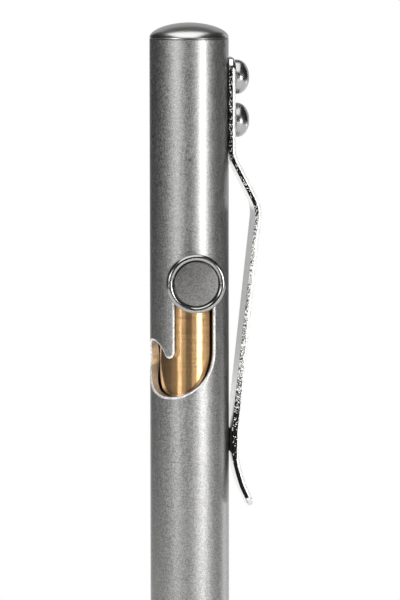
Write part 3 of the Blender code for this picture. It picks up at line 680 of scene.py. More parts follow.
def to_object(name, form, finishes):
    """Link a form into the scene as an object with its finishes."""
    mesh = bpy.data.meshes.new(name)
    bmesh.ops.recalc_face_normals(form, faces=form.faces)
    form.to_mesh(mesh)
    form.free()
    for finish in finishes:
        mesh.materials.append(finish)
    made = bpy.data.objects.new(name, mesh)
    bpy.context.scene.collection.objects.link(made)
    return made


def bar(radius, start, end, sides, end_radius=None):
    """A round or many-sided tool from start to end up its own Z axis, straight or widening."""
    form = bmesh.new()
    wide = radius if end_radius is None else end_radius
    bmesh.ops.create_cone(
        form, cap_ends=True, segments=sides, radius1=radius, radius2=wide, depth=end - start
    )
    bmesh.ops.translate(form, verts=form.verts, vec=(0.0, 0.0, (start + end) / 2))
    return form


def hex_key(width, start, end):
    """A six-sided tool of a width across its flats."""
    return bar(width / math.sqrt(3), start, end, 6)


def block(low, high):
    """A straight-sided tool between two opposite corners."""
    form = bmesh.new()
    bmesh.ops.create_cube(form, size=1.0)
    bmesh.ops.scale(form, verts=form.verts, vec=high - low)
    bmesh.ops.translate(form, verts=form.verts, vec=(high + low) / 2)
    return form


def carve(piece, form, *finishes):
    """Cut a tool's form out of a piece for good, leaving the tool's finishes on the cut faces."""
    tool = to_object("cutter", form, finishes)
    boolean = piece.modifiers.new("Cut", "BOOLEAN")
    boolean.operation = "DIFFERENCE"
    boolean.solver = "EXACT"
    boolean.material_mode = "TRANSFER"
    boolean.object = tool
    settle(piece)
    bpy.data.objects.remove(tool)


def settle(piece):
    """Apply a piece's modifiers."""
    graph = bpy.context.evaluated_depsgraph_get()
    mesh = bpy.data.meshes.new_from_object(piece.evaluated_get(graph))
    old = piece.data
    piece.modifiers.clear()
    piece.data = mesh
    bpy.data.meshes.remove(old)


def set_up(piece, body, node, sharp=40.0, even=True):
    """Shade a piece up to a sharp angle in degrees, let it ride on a body and stand for a solid."""
    piece.data.shade_smooth()
    piece.data.set_sharp_from_angle(angle=math.radians(sharp))
    if even:
        weigh = piece.modifiers.new("Even shading", "WEIGHTED_NORMAL")
        weigh.keep_sharp = True
    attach(piece, body)
    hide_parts(node)


def slot_station(pen, distance):
    """Bolt centre after a distance along the slot: its turn about the axis, its height and their rates."""
    slot = pen.slot
    radius = pen.body.diameter / 2
    if distance <= slot.leg:
        return 0.0, slot.rest - distance, 0.0, -1.0
    swept = (distance - slot.leg) / slot.hook
    turn = -slot.hook * (1 - math.cos(swept)) / radius
    height = slot.rest - slot.leg - slot.hook * math.sin(swept)
    return turn, height, -math.sin(swept) / radius, -math.cos(swept)


def mill_wall_angle(station, radius, tool, side):
    """Where on the milling tool's circle the slot's wall touches it, at a radius from the axis."""
    turn_rate, height_rate = station[2:]
    touch = 0.0 if side < 0 else math.pi
    for _ in range(MILL_ROUNDS):
        offset = tool * math.cos(touch) / radius
        touch = math.atan2(-side * radius * math.sqrt(1 - offset * offset) * turn_rate, side * height_rate)
    return touch % math.tau


def mill_point(station, radius, tool, touch):
    """Turn and height of a point on the tool's circle."""
    return station[0] + math.asin(tool * math.cos(touch) / radius), station[1] + tool * math.sin(touch)


def trim_crossed_wall(pen, wall, radius, tool):
    """Close up the stretch of a wall that the tool clears from elsewhere along the slot."""
    reach = pen.slot.leg + pen.slot.hook * pen.slot.sweep
    path = [slot_station(pen, reach * step / MILL_STEPS) for step in range(MILL_STEPS + 1)]
    limit = (CLEARED * tool) ** 2
    lost = []
    for index, (turn, height) in enumerate(wall):
        offsets = ((radius * math.sin(turn - spot[0]), height - spot[1]) for spot in path)
        if any(across * across + along * along < limit for across, along in offsets):
            lost.append(index)
    if lost:
        before = wall[lost[0] - 1]
        after = wall[lost[-1] + 1]
        for index in range(lost[0] - 1, lost[-1] + 2):
            wall[index] = ((before[0] + after[0]) / 2, (before[1] + after[1]) / 2)
    return wall


def slot_ring(pen, radius, tool):
    """Outline of the slot at one radius: tongue side, pocket end, outer side, rest end."""
    slot = pen.slot
    hook = [slot.leg + slot.hook * slot.sweep * step / HOOK_STEPS for step in range(HOOK_STEPS + 1)]
    stations = [slot_station(pen, distance) for distance in [0.0, *hook]]
    tongue_angles = [mill_wall_angle(station, radius, tool, 1) for station in stations]
    outer_angles = [mill_wall_angle(station, radius, tool, -1) for station in stations]
    tongue = [mill_point(spot, radius, tool, touch) for spot, touch in zip(stations, tongue_angles)]
    outer = [mill_point(spot, radius, tool, touch) for spot, touch in zip(stations, outer_angles)]
    pocket = []
    rest = []
    for step in range(1, CAP_STEPS + 1):
        part = math.pi * step / (CAP_STEPS + 1)
        pocket.append(mill_point(stations[-1], radius, tool, tongue_angles[-1] + part))
        rest.append(mill_point(stations[0], radius, tool, part))
    return trim_crossed_wall(pen, tongue + pocket, radius, tool) + outer[::-1] + rest


def slot_tool(pen):
    """The J slot's volume, with walls that follow a radial milling tool and a rounded edge at the surface."""
    radius = pen.body.diameter / 2
    tool = pen.slot.width / 2
    edge = pen.slot.edge

    def placed(far, reach):
        """The slot's outline at a radius from the axis, for a tool radius."""
        ring = slot_ring(pen, far, reach)
        return [Vector((far * math.sin(turn), -far * math.cos(turn), height)) for turn, height in ring]

    wall = placed(radius - EDGE_DEPTH * edge, tool)
    corner = placed(radius - EDGE_SINK * edge, tool + EDGE_REACH * edge)
    lip = placed(radius + EDGE_RISE * edge, tool + edge)
    rings = [placed(radius - pen.body.wall - OVERRUN, tool), wall]
    for step in range(1, EDGE_STEPS + 1):
        part = step / EDGE_STEPS
        rings.append([
            foot * (1 - part) ** 2 + middle * 2 * part * (1 - part) + top * part**2
            for foot, middle, top in zip(wall, corner, lip)
        ])
    rings.append([spot * (1 + tool / radius) - Vector((0, 0, spot.z * tool / radius)) for spot in lip])
    form = bmesh.new()
    grid = [[form.verts.new(spot) for spot in ring] for ring in rings]
    count = len(wall)
    for level, (inner, outer) in enumerate(zip(grid, grid[1:])):
        for index in range(count):
            after = (index + 1) % count
            face = form.faces.new((inner[index], inner[after], outer[after], outer[index]))
            face.material_index = min(level, 1)
    for ring in (grid[0], grid[-1]):
        loop = ring[-(CAP_STEPS // 2):] + ring[:-(CAP_STEPS // 2)]
        pairs = [(loop[index], loop[-1 - index]) for index in range(count // 2)]
        for left, right in zip(pairs, pairs[1:]):
            form.faces.new((left[0], right[0], right[1], left[1]))
    bmesh.ops.remove_doubles(form, verts=form.verts, dist=1e-7)
    return form


def clip_screw_heights():
    """Heights of the two clip screws, upper one first."""
    return middle_of("clip_screw_upper"), middle_of("clip_screw_lower")


def drill_for_clip_screws(piece, radius, start, end, finish):
    """Drill a piece from the clip's side for both clip screws."""
    for height in clip_screw_heights():
        drill = bar(radius, start, end, SMALL_STEPS)
        lay_along(drill, "+X", height)
        carve(piece, drill, finish)


def bend_strip(spot, heading, radius, new_heading):
    """Points of a bend that turns a strip's inner face to a new heading, measured from straight down."""
    points = []
    arm = math.copysign(radius, new_heading - heading)
    centre = (spot[0] + arm * math.cos(heading), spot[1] + arm * math.sin(heading))
    for step in range(1, BEND_STEPS + 1):
        turn = heading + (new_heading - heading) * step / BEND_STEPS
        points.append((centre[0] - arm * math.cos(turn), centre[1] - arm * math.sin(turn)))
    return points


def run_strip(spot, heading, length):
    """End of a straight run at a heading measured from straight down."""
    return spot[0] + length * math.sin(heading), spot[1] - length * math.cos(heading)


def clip_line(pen):
    """Inner face of the clip, from its top end to its tip, as (distance from axis, height)."""
    clip = pen.clip
    radius = pen.body.diameter / 2
    inner = radius - clip.seat + GAP
    line = [(inner, clip.top), (inner, clip.top - clip.foot)]
    line += bend_strip(line[-1], 0.0, clip.lift_radius, clip.lift)
    crown = clip.bulge_radius * (1 - math.cos(clip.lift))
    rise = radius + clip.bulge - crown - line[-1][0]
    line.append(run_strip(line[-1], clip.lift, rise / math.sin(clip.lift)))
    line += bend_strip(line[-1], clip.lift, clip.bulge_radius, -clip.fall)
    hollow = clip.touch_radius * (1 - math.cos(clip.fall))
    drop = line[-1][0] - (radius + GAP + hollow)
    line.append(run_strip(line[-1], -clip.fall, drop / math.sin(clip.fall)))
    line += bend_strip(line[-1], -clip.fall, clip.touch_radius, clip.rise)
    line.append(run_strip(line[-1], clip.rise, clip.rise_run))
    line += bend_strip(line[-1], clip.rise, clip.flare_radius, clip.flare)
    line.append(run_strip(line[-1], clip.flare, clip.flare_run + clip.corner))
    return line


def spot_on(line, distance):
    """Point at a distance along a line, and the unit vector that points away from the barrel there."""
    for here, after in zip(line, line[1:]):
        step = math.dist(here, after)
        if distance <= step or after is line[-1]:
            break
        distance -= step
    along = ((after[0] - here[0]) / step, (after[1] - here[1]) / step)
    place = (here[0] + along[0] * distance, here[1] + along[1] * distance)
    return place, (-along[1], along[0])


def half_outline(width, total, corner, inset):
    """Half of a rounded strip's outline, as (distance along it, distance from its middle)."""
    steps = [math.pi / 2 * step / CORNER_STEPS for step in range(CORNER_STEPS + 1)]
    flat = width / 2 - corner
    reach = corner - inset
    bend = [(corner - reach * math.cos(turn), flat + reach * math.sin(turn)) for turn in steps]
    side = ruled((corner, flat + reach), (total - corner, flat + reach), CLIP_SPACING)
    far_bend = [(total - far, out) for far, out in reversed(bend)]
    return [(inset, 0.0), *bend, *side, *far_bend, (total - inset, 0.0)]


def clip_loop(form, clip, line, level, turn):
    """Left and right half of the clip's outline on one layer of its rounded edges."""
    total = sum(math.dist(here, after) for here, after in zip(line, line[1:]))
    full, slim = (
        half_outline(clip.width, total, clip.corner, reach * (1 - math.cos(turn)))
        for reach in (clip.brow, clip.edge)
    )
    halves = ([], [])
    for (far, out), (slim_far, slim_out) in zip(full, slim):
        fallen = gone(total - far, 0.0, clip.corner)
        if level:
            fallen = gone(total - far, TAIL_FADE * clip.tail, clip.tail)
            fallen *= gone(spot_on(line, far)[0][1], clip.full, clip.slim)
        far += (slim_far - far) * fallen
        out += (slim_out - out) * fallen
        reach = clip.brow + (clip.edge - clip.brow) * fallen
        depth = level + math.copysign(reach, turn) * (math.sin(abs(turn)) - 1)
        (x, z), (away_x, away_z) = spot_on(line, far)
        for half, side in zip(halves, (-1, 1)):
            if out == 0.0 and side > 0:
                half.append(halves[0][-1])
                continue
            half.append(form.verts.new((x + away_x * depth, side * out, z + away_z * depth)))
    return halves


# Operators


class PEN_OT_barrel(bpy.types.Operator):
    """Build the blasted barrel with its J slot, the clip's flat and the clip screws' holes"""

    bl_idname = "pen.barrel"
    bl_label = "Barrel"
    bl_options = {"REGISTER", "UNDO"}

    def execute(self, context):
        pen = context.scene.pen
        body, clip, tone = pen.body, pen.clip, pen.finish
        outer = body.diameter / 2
        bore = outer - body.wall
        top = body.rim - GAP
        bottom = body.seam + GAP
        skin = blasted_metal("barrel_blasted", tone.titanium, tone.blast)
        milled = turned_metal("slot_wall_milled", tone.edge, 0.34, grain=0.0001, depth=0.0000004, metal=0.95)
        broken = blasted_metal(
            "slot_edge_broken", tone.edge, 0.4, grain=0.00012, depth=0.000006, sparkle=0.3, metal=0.6
        )
        rim_edge = 0.4 * body.edge
        shoulder = top - rim_edge
        high = pen.slot.rest + SLOT_ABOVE
        low = pen.slot.rest - SLOT_BELOW
        profile = [(outer - rim_edge, top), (outer, shoulder)]
        profile += ringed(outer, shoulder, ((high, 0.0012), (low, 0.0003), (bottom + body.edge, 0.0018)))
        profile += [(outer - body.edge, bottom), (bore + CHAMFER, bottom), (bore, bottom + CHAMFER)]
        profile += ringed(bore, bottom + CHAMFER, ((low, 0.003), (high, 0.0005), (top, 0.003)))
        barrel = to_object("pen_barrel", spin(profile, BODY_STEPS, closed=True), [skin])
        carve(barrel, slot_tool(pen), milled, broken)
        lift_run = math.sqrt(2 * clip.lift_radius * clip.seat)
        flat_low = Vector((outer - clip.seat, -clip.width, clip.top - clip.foot - lift_run - OVERRUN))
        flat_high = Vector((2 * outer, clip.width, clip.top + OVERRUN))
        carve(barrel, block(flat_low, flat_high), milled)
        drill_for_clip_screws(barrel, SCREW_HOLE, bore / 2, 2 * outer, milled)
        set_up(barrel, "barrel", "barrel", sharp=24.0, even=False)
        return {"FINISHED"}


class PEN_OT_end_plug(bpy.types.Operator):
    """Build the satin dome with the stem that takes the clip screws"""

    bl_idname = "pen.end_plug"
    bl_label = "End plug"
    bl_options = {"REGISTER", "UNDO"}

    def execute(self, context):
        pen = context.scene.pen
        body, tone = pen.body, pen.finish
        outer = body.diameter / 2
        stem = outer - body.wall - GAP
        satin = polished_metal("dome_satin", tone.bright, 0.29, depth=0.0000001, haze=0.03)
        stem_edge = 0.0004
        tap_start = -0.0004
        brim = body.rim + body.edge
        power = 2 / body.fullness
        quarter = arc((0.0, 0.0), (1.0, 1.0), math.pi / 2, 0.0, 2 * CURVE_STEPS)
        dome = [(outer * abs(x) ** power, brim + (body.length - brim) * abs(z) ** power) for x, z in quarter]
        dome[0] = (0.0, body.length)
        dome[-1] = (outer, brim)
        under = [
            dome[-1],
            (outer - body.edge, body.rim),
            (stem, body.rim),
            (stem, body.plug_foot + stem_edge),
            (stem - stem_edge, body.plug_foot),
            (0.0, body.plug_foot),
        ]
        profile = dome[:-1] + soften(under, reach=0.00004)
        plug = to_object("pen_end_plug", spin(profile, BODY_STEPS), [satin])
        drill_for_clip_screws(plug, SCREW_TAP, tap_start, 2 * outer, satin)
        set_up(plug, "barrel", "end_plug")
        return {"FINISHED"}


class PEN_OT_pocket_clip(bpy.types.Operator):
    """Build the bent clip with rounded ends, rough cut edges and two screw holes"""

    bl_idname = "pen.pocket_clip"
    bl_label = "Pocket clip"
    bl_options = {"REGISTER", "UNDO"}

    def execute(self, context):
        pen = context.scene.pen
        body, clip, tone = pen.body, pen.clip, pen.finish
        finishes = [
            polished_metal("clip_face_satin", tone.strip, 0.20, grain=0.0002, depth=0.000002),
            # Cut edge with torn flecks, and painted shade and light along its height
            cut_edge_metal("clip_edge_cut_painted_shade", tone.cut, 0.20, EDGE_FLECKS_AND_PAINTED_SHADE),
            blasted_metal("clip_edge_round", tone.edge, 0.5, grain=0.00018, sparkle=0.15, metal=0.4),
            blasted_metal("clip_front_blasted", tone.bright, 0.38),
            # Painted contact shadow: dark matt finish for the inner face where it meets the barrel
            blasted_metal("clip_contact_painted_shade", tone.painted_contact_shade, 0.9, grain=0.00018, sparkle=0.15, metal=0.0),
        ]
        satin, cut, rounded, matt, painted_contact_shade = range(len(finishes))
        line = clip_line(pen)
        turns = [math.pi / 2 * step / BROW_STEPS for step in range(BROW_STEPS + 1)]
        layers = [(0.0, -turn) for turn in reversed(turns[::2])]
        layers += [(clip.thick, turn) for turn in turns]
        form = bmesh.new()
        loops = [clip_loop(form, clip, line, level, turn) for level, turn in layers]
        tip_end = line[-1][1] + TIP_BARE * clip.corner
        for lower, upper, (level, _) in zip(loops, loops[1:], layers):
            for half, half_up in zip(lower, upper):
                for corners in zip(half, half[1:], half_up[1:], half_up):
                    side = rounded if level > 0.0 else cut
                    bare = not tip_end < corners[1].co.z < clip.top - clip.corner
                    form.faces.new(corners).material_index = satin if bare else side
        for (left, right), finish in ((loops[0], satin), (loops[-1], matt)):
            for corners in zip(left, left[1:], right[1:], right):
                # Inner-face facets inside the painted contact shadow's band take the dark finish
                rubs = finish == satin and 0.0 < clip.grip - corners[1].co.z < clip.painted_shade_length
                form.faces.new(dict.fromkeys(corners)).material_index = painted_contact_shade if rubs else finish
        strip = to_object("pen_clip", form, finishes)
        outer = body.diameter / 2
        drill_for_clip_screws(strip, SCREW_HOLE, outer - body.wall, 2 * outer, finishes[satin])
        set_up(strip, "barrel", "pocket_clip")
        return {"FINISHED"}


class PEN_OT_clip_screws(bpy.types.Operator):
    """Build the two domed socket screws that hold the clip"""

    bl_idname = "pen.clip_screws"
    bl_label = "Clip screws"
    bl_options = {"REGISTER", "UNDO"}

    def execute(self, context):
        pen = context.scene.pen
        clip, tone = pen.clip, pen.finish
        steel = polished_metal("screw_satin", tone.screw, 0.28)
        head = clip.head / 2
        seat = pen.body.diameter / 2 - clip.seat + clip.thick + 2 * GAP
        top = seat + clip.head_height
        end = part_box("clip_screw_upper")[0].x
        start = seat - 0.0005
        crown = clip.head_height - clip.brim
        sink_foot = 0.38 * clip.key
        sink_mouth = 0.78 * clip.key
        dome = arc((0.0, seat + clip.brim), (head, crown), math.pi / 2, 0.0, CURVE_STEPS)
        dome[0] = (0.0, top)
        under = soften([dome[-1], (head, seat), (SCREW_R, seat), (SCREW_R, start)], reach=0.00008)
        profile = dome[:-1] + under + screw_shank(start, end)
        for label, height in zip(("upper", "lower"), clip_screw_heights()):
            form = spin(profile, SMALL_STEPS)
            wind_screw(form, seat - SCREW_NECK, end)
            screw = to_object(f"pen_clip_screw_{label}", form, [steel])
            carve(screw, hex_key(clip.key, top - clip.key_depth, top + clip.brim), steel)
            sink = bar(sink_foot, top - 0.00038, top + 0.00022, SMALL_STEPS, sink_mouth)
            carve(screw, sink, steel)
            lay_along(screw.data, "+X", height)
            set_up(screw, "barrel", f"clip_screw_{label}")
        return {"FINISHED"}


class PEN_OT_bolt(bpy.types.Operator):
    """Build the rimmed knob with its stem, the bare coin and the screw under it"""

    bl_idname = "pen.bolt"
    bl_label = "Bolt knob"
    bl_options = {"REGISTER", "UNDO"}

    def execute(self, context):
        pen = context.scene.pen
        bolt, body, tone = pen.bolt, pen.body, pen.finish
        polished = polished_metal("knob_polished", tone.knob, 0.17)
        field = blasted_metal("coin_satin", tone.coin, 0.34, grain=0.00013, depth=0.000006, sparkle=0.2)
        steel = polished_metal("knob_screw_bright", tone.screw, 0.15)
        outer = body.diameter / 2
        under = outer + bolt.lift
        face = under + bolt.thick
        knob = bolt.knob / 2
        recess = knob - bolt.rim
        coin_face = face - bolt.coin_sink
        coin_back = coin_face - bolt.coin_thick
        ledge = coin_back - GAP
        seat = outer - body.wall - GAP - SEAT_SINK
        stem = pen.slot.width / 2 - STEM_ROOM
        screw_head = 0.0021
        head_thick = 0.0006
        screw_length = 0.003
        key = 0.0013
        head_top = ledge - GAP
        head_under = head_top - head_thick
        head_seat = head_under - GAP
        edge = bolt.rim_round
        rounds = (edge, edge)
        crest = arc((recess + edge, face - edge), rounds, math.pi, math.pi / 2, RIM_STEPS)
        brow = arc((knob - edge, face - edge), rounds, math.pi / 2, 0.0, RIM_STEPS)
        lower = arc((knob - edge, under + edge), rounds, 0.0, -math.pi / 2, RIM_STEPS)
        inner = [
            lower[-1],
            (stem, under),
            (stem, seat + GAP),
            (SCREW_HOLE, seat + GAP),
            (SCREW_HOLE, head_seat),
            (screw_head + HOLE_GAP, head_seat),
            (screw_head + HOLE_GAP, ledge),
            (recess, ledge),
            crest[0],
        ]
        profile = crest + brow + lower[:-1] + soften(inner, reach=0.00005)[:-1]
        form = spin(profile, 2 * SMALL_STEPS, closed=True)
        lay_along(form, "-Y", pen.slot.rest)
        set_up(to_object("pen_knob", form, [polished]), "bolt_carriage", "bolt_knob")

        coin = recess - bolt.coin_gap
        disc = [(0.0, coin_face), (coin, coin_face), (coin, coin_back), (0.0, coin_back)]
        form = spin(soften(disc, reach=0.00012), 2 * SMALL_STEPS)
        lay_along(form, "-Y", pen.slot.rest)
        set_up(to_object("pen_coin", form, [field]), "bolt_carriage", "knob_coin")

        end = seat - screw_length
        start = head_under - SCREW_NECK
        head = [(0.0, head_top), (screw_head, head_top), (screw_head, head_under), (SCREW_R, head_under)]
        profile = soften([*head, (SCREW_R, start)], reach=0.00006) + screw_shank(start, end)
        form = spin(profile, SMALL_STEPS)
        wind_screw(form, start, end)
        screw = to_object("pen_knob_screw", form, [steel])
        carve(screw, hex_key(key, head_under, head_top + 0.0005), steel)
        lay_along(screw.data, "-Y", pen.slot.rest)
        set_up(screw, "bolt_carriage", "knob_screw")
        return {"FINISHED"}


class PEN_OT_plunger(bpy.types.Operator):
    """Build the bronze slide with its tool marks, the knob's seat and the refill's socket"""

    bl_idname = "pen.plunger"
    bl_label = "Plunger"
    bl_options = {"REGISTER", "UNDO"}

    def execute(self, context):
        pen = context.scene.pen
        bolt, body, tone = pen.bolt, pen.body, pen.finish
        bronze = turned_metal(
            "plunger_bronze", tone.bronze, 0.23, grain=0.00006, depth=0.0000008, streak=0.2, shine=0.7
        )
        outer = body.diameter / 2
        slide = outer - body.wall - bolt.play
        top = top_of("plunger")
        bottom = foot_of("plunger")
        socket_end = pen.slot.rest - 0.0042
        socket = width_of("refill_tube", 0) / 2 + HOLE_GAP
        plain = 0.0009
        tap_depth = 0.0038
        head = [(0.0, top), (slide - CHAMFER, top), (slide, top - CHAMFER), (slide, top - plain)]
        head = soften(head, reach=0.00006)
        tail = [(slide, bottom + plain), (slide, bottom + CHAMFER), (slide - CHAMFER, bottom)]
        tail += [(socket + CHAMFER, bottom), (socket, bottom + CHAMFER)]
        tail += [(socket, socket_end), (0.0, socket_end)]
        marks = []
        for radius, height in ruled(head[-1], tail[0], bolt.ripple / MARK_STEPS):
            wave = 0.5 - 0.5 * math.cos(math.tau * height / bolt.ripple)
            marks.append((radius - bolt.ripple_depth * wave, height))
        form = spin(head + marks + soften(tail, reach=0.00006), BODY_STEPS)
        plunger = to_object("pen_plunger", form, [bronze])
        stem = pen.slot.width / 2 - STEM_ROOM + GAP
        seat = outer - body.wall - GAP - SEAT_SINK
        for radius, start in ((stem, seat), (SCREW_TAP, seat - tap_depth)):
            tool = bar(radius, start, outer, SMALL_STEPS)
            lay_along(tool, "-Y", pen.slot.rest)
            carve(plunger, tool, bronze)
        set_up(plunger, "bolt_carriage", "plunger")
        return {"FINISHED"}


class PEN_OT_refill(bpy.types.Operator):
    """Build the refill: tube, notched tail, writing point and ball"""

    bl_idname = "pen.refill"
    bl_label = "Refill"
    bl_options = {"REGISTER", "UNDO"}

    def execute(self, context):
        steel = turned_metal("refill_steel_drawn", (0.62, 0.62, 0.63), 0.22, grain=0.0001, depth=0.000001)
        brass = turned_metal("point_brass_turned", (0.70, 0.53, 0.26), 0.22, grain=0.00005, depth=0.000002)
        carbide = polished_metal("ball_carbide", (0.45, 0.45, 0.47), 0.10)
        plastic = moulded_plastic("tail_plastic", (0.03, 0.03, 0.035), 0.45)
        radius = width_of("refill_tube", 0) / 2
        wall = 0.0003
        tip = foot_of("refill_ball")
        shoulder = tip + 0.0118
        neck = tip + 0.0066
        neck_r = 0.00155
        hole = 0.00105
        top = top_of("refill_tube")
        inner = radius - wall
        tube = [
            (radius, top),
            (radius, shoulder + wall),
            (radius - wall, shoulder),
            (neck_r, shoulder),
            (neck_r, neck),
            (hole, neck),
            (hole, shoulder + wall),
            (inner - wall, shoulder + wall),
            (inner, shoulder + 2 * wall),
            (inner, top),
        ]
        form = spin(soften(tube, reach=0.00008, closed=True), SMALL_STEPS, closed=True)
        piece = to_object("pen_refill_tube", form, [steel])
        set_up(piece, "bolt_carriage", "refill_tube", sharp=34.0)

        high = top_of("refill_tail")
        plug = inner - GAP
        flange = high - 0.0015
        low = high - 0.0045
        tail = [(0.0, high), (radius - wall, high), (radius, high - wall), (radius, flange)]
        tail += [(plug, flange), (plug, low), (0.0, low)]
        piece = to_object("pen_refill_tail", spin(soften(tail, reach=0.00008), SMALL_STEPS), [plastic])
        notch = high - 0.00075
        notch_low = Vector((-2 * radius, -0.0006, notch))
        notch_high = Vector((2 * radius, 0.0006, notch + 0.003))
        carve(piece, block(notch_low, notch_high), plastic)
        set_up(piece, "bolt_carriage", "refill_tail", sharp=34.0)

        ball = 0.00035
        nest = ball + HOLE_GAP / 4
        lip = tip + 0.00025
        shank = shoulder - wall
        shank_r = 0.001
        cone_r = 0.00115
        lip_r = 0.0005
        ink_r = 0.00025
        point = [
            (shank_r, shank),
            (shank_r, neck - GAP),
            (cone_r, neck - GAP),
            (cone_r, tip + 0.0026),
            (lip_r, lip),
            (nest, lip),
            (nest, tip + 2 * ball + GAP),
            (ink_r, tip + 2 * ball + 2 * GAP),
            (ink_r, shank),
        ]
        form = spin(soften(point, reach=0.00005, closed=True), SMALL_STEPS, closed=True)
        piece = to_object("pen_refill_point", form, [brass])
        set_up(piece, "bolt_carriage", "refill_point", sharp=34.0)

        rounds = arc((0.0, tip + ball), (ball, ball), math.pi / 2, -math.pi / 2, BALL_STEPS)
        rounds[0] = (0.0, tip + 2 * ball)
        rounds[-1] = (0.0, tip)
        piece = to_object("pen_refill_ball", spin(rounds, SMALL_STEPS), [carbide])
        set_up(piece, "bolt_carriage", "refill_ball", sharp=34.0)
        return {"FINISHED"}


class PEN_OT_return_spring(bpy.types.Operator):
    """Build the return spring, with closed end coils, on a mesh of its own"""

    bl_idname = "pen.return_spring"
    bl_label = "Return spring"
    bl_options = {"REGISTER", "UNDO"}

    def execute(self, context):
        steel = polished_metal("spring_wire", (0.56, 0.56, 0.57), 0.20)
        low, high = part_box("return_spring")
        wire = 0.000225
        coils = 8
        close = 0.0005
        start = low.z + wire
        pitch = (high.z - low.z - 2 * wire - 2 * close) / coils
        helix = (high.x - low.x) / 2 - wire
        form = bmesh.new()
        rings = []
        for step in range((coils + 2) * COIL_STEPS + 1):
            turn = step / COIL_STEPS
            active = min(max(turn - 1, 0.0), coils)
            height = start + pitch * active + close * (turn - active)
            way = Vector((math.cos(math.tau * turn), math.sin(math.tau * turn), 0.0))
            ring = []
            for side in range(WIRE_STEPS):
                around = math.tau * side / WIRE_STEPS
                spot = way * (helix + wire * math.cos(around))
                ring.append(form.verts.new((spot.x, spot.y, height + wire * math.sin(around))))
            rings.append(ring)
        for before, after in zip(rings, rings[1:]):
            for side in range(WIRE_STEPS):
                other = (side + 1) % WIRE_STEPS
                form.faces.new((before[side], before[other], after[other], after[side]))
        form.faces.new(rings[0][::-1])
        form.faces.new(rings[-1])
        spring = to_object("pen_spring", form, [steel])
        set_up(spring, "front", "return_spring", sharp=60.0, even=False)
        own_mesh(spring)
        return {"FINISHED"}


class PEN_OT_front_section(bpy.types.Operator):
    """Build the grip and tapered nose with the threaded spigot, and its O-ring"""

    bl_idname = "pen.front_section"
    bl_label = "Front section"
    bl_options = {"REGISTER", "UNDO"}

    def execute(self, context):
        pen = context.scene.pen
        body, tone = pen.body, pen.finish
        blasted = blasted_metal("front_blasted", tone.titanium, tone.blast)
        rubber = moulded_plastic("ring_rubber", (0.02, 0.02, 0.02), 0.60)
        outer = body.diameter / 2
        slide = outer - body.wall - GAP
        face = body.nose_face / 2
        fall = outer - face
        sweep_r = (body.nose_length**2 + fall**2) / (2 * fall)
        sweep = math.asin(body.nose_length / sweep_r)
        nose = arc((outer - sweep_r, body.nose_length), (sweep_r, sweep_r), 0.0, -sweep, CURVE_STEPS)
        edge = 0.0004
        tip = arc((face - edge, edge), (edge, edge), 0.0, -math.pi / 2, NOSE_STEPS)
        spigot = top_of("front_section")
        ring_low, ring_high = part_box("front_ring")
        groove_low = ring_low.z - HOLE_GAP
        groove_high = ring_high.z + HOLE_GAP
        wire = (ring_high.z - ring_low.z) / 2
        groove = slide - 2 * wire - HOLE_GAP
        relief = 0.0008
        thread_low = groove_high + relief
        thread_high = spigot - relief
        upper = soften([(slide - edge, spigot), (slide, spigot - edge), (slide, thread_high)], reach=0.00005)
        upper += ruled((slide, thread_high), (slide, thread_low), THREAD_SPACING)
        lower = [
            (slide, thread_low),
            (slide, groove_high),
            (groove, groove_high),
            (groove, groove_low),
            (slide, groove_low),
            (slide, body.seam),
            (outer - body.edge, body.seam),
            (outer, body.seam - body.edge),
            (outer, body.seam - 0.002),
        ]
        hole = 0.00135
        spring = 0.00265
        spring_seat = 0.003
        socket = width_of("refill_tube", 0) / 2 + HOLE_GAP
        socket_end = 0.008
        bores = [
            tip[-1],
            (hole, 0.0),
            (hole, spring_seat),
            (spring, spring_seat),
            (spring, socket_end - socket + spring),
            (socket, socket_end),
            (socket, spigot),
        ]
        grip = ruled(lower[-1], (outer, body.nose_length), GRIP_SPACING)
        profile = upper + soften(lower, reach=0.00005) + grip + nose[:-1] + tip[:-1]
        form = spin(profile + soften(bores, reach=0.00008), BODY_STEPS, closed=True)
        wind_thread(form, thread_low, spigot - 0.0006, slide, body.thread_depth, body.thread_pitch, 2)
        set_up(to_object("pen_front", form, [blasted]), "front", "front_section")

        middle = (slide - GAP - wire, ring_low.z + wire)
        circle = arc(middle, (wire, wire), 0.0, -math.tau, SEAL_STEPS)[:-1]
        ring = to_object("pen_front_ring", spin(circle, BODY_STEPS, closed=True), [rubber])
        set_up(ring, "front_seal", "front_ring", sharp=60.0, even=False)
        return {"FINISHED"}


def seen_directly(tree):
    """One for rays that see a surface from the camera, in a mirror or through glass, else zero."""
    path = tree.nodes.new("ShaderNodeLightPath")
    most = path.outputs["Is Camera Ray"]
    for ray in ("Is Glossy Ray", "Is Transmission Ray"):
        larger = tree.nodes.new("ShaderNodeMath")
        larger.operation = "MAXIMUM"
        tree.links.new(most, larger.inputs[0])
        tree.links.new(path.outputs[ray], larger.inputs[1])
        most = larger.outputs[0]
    return most


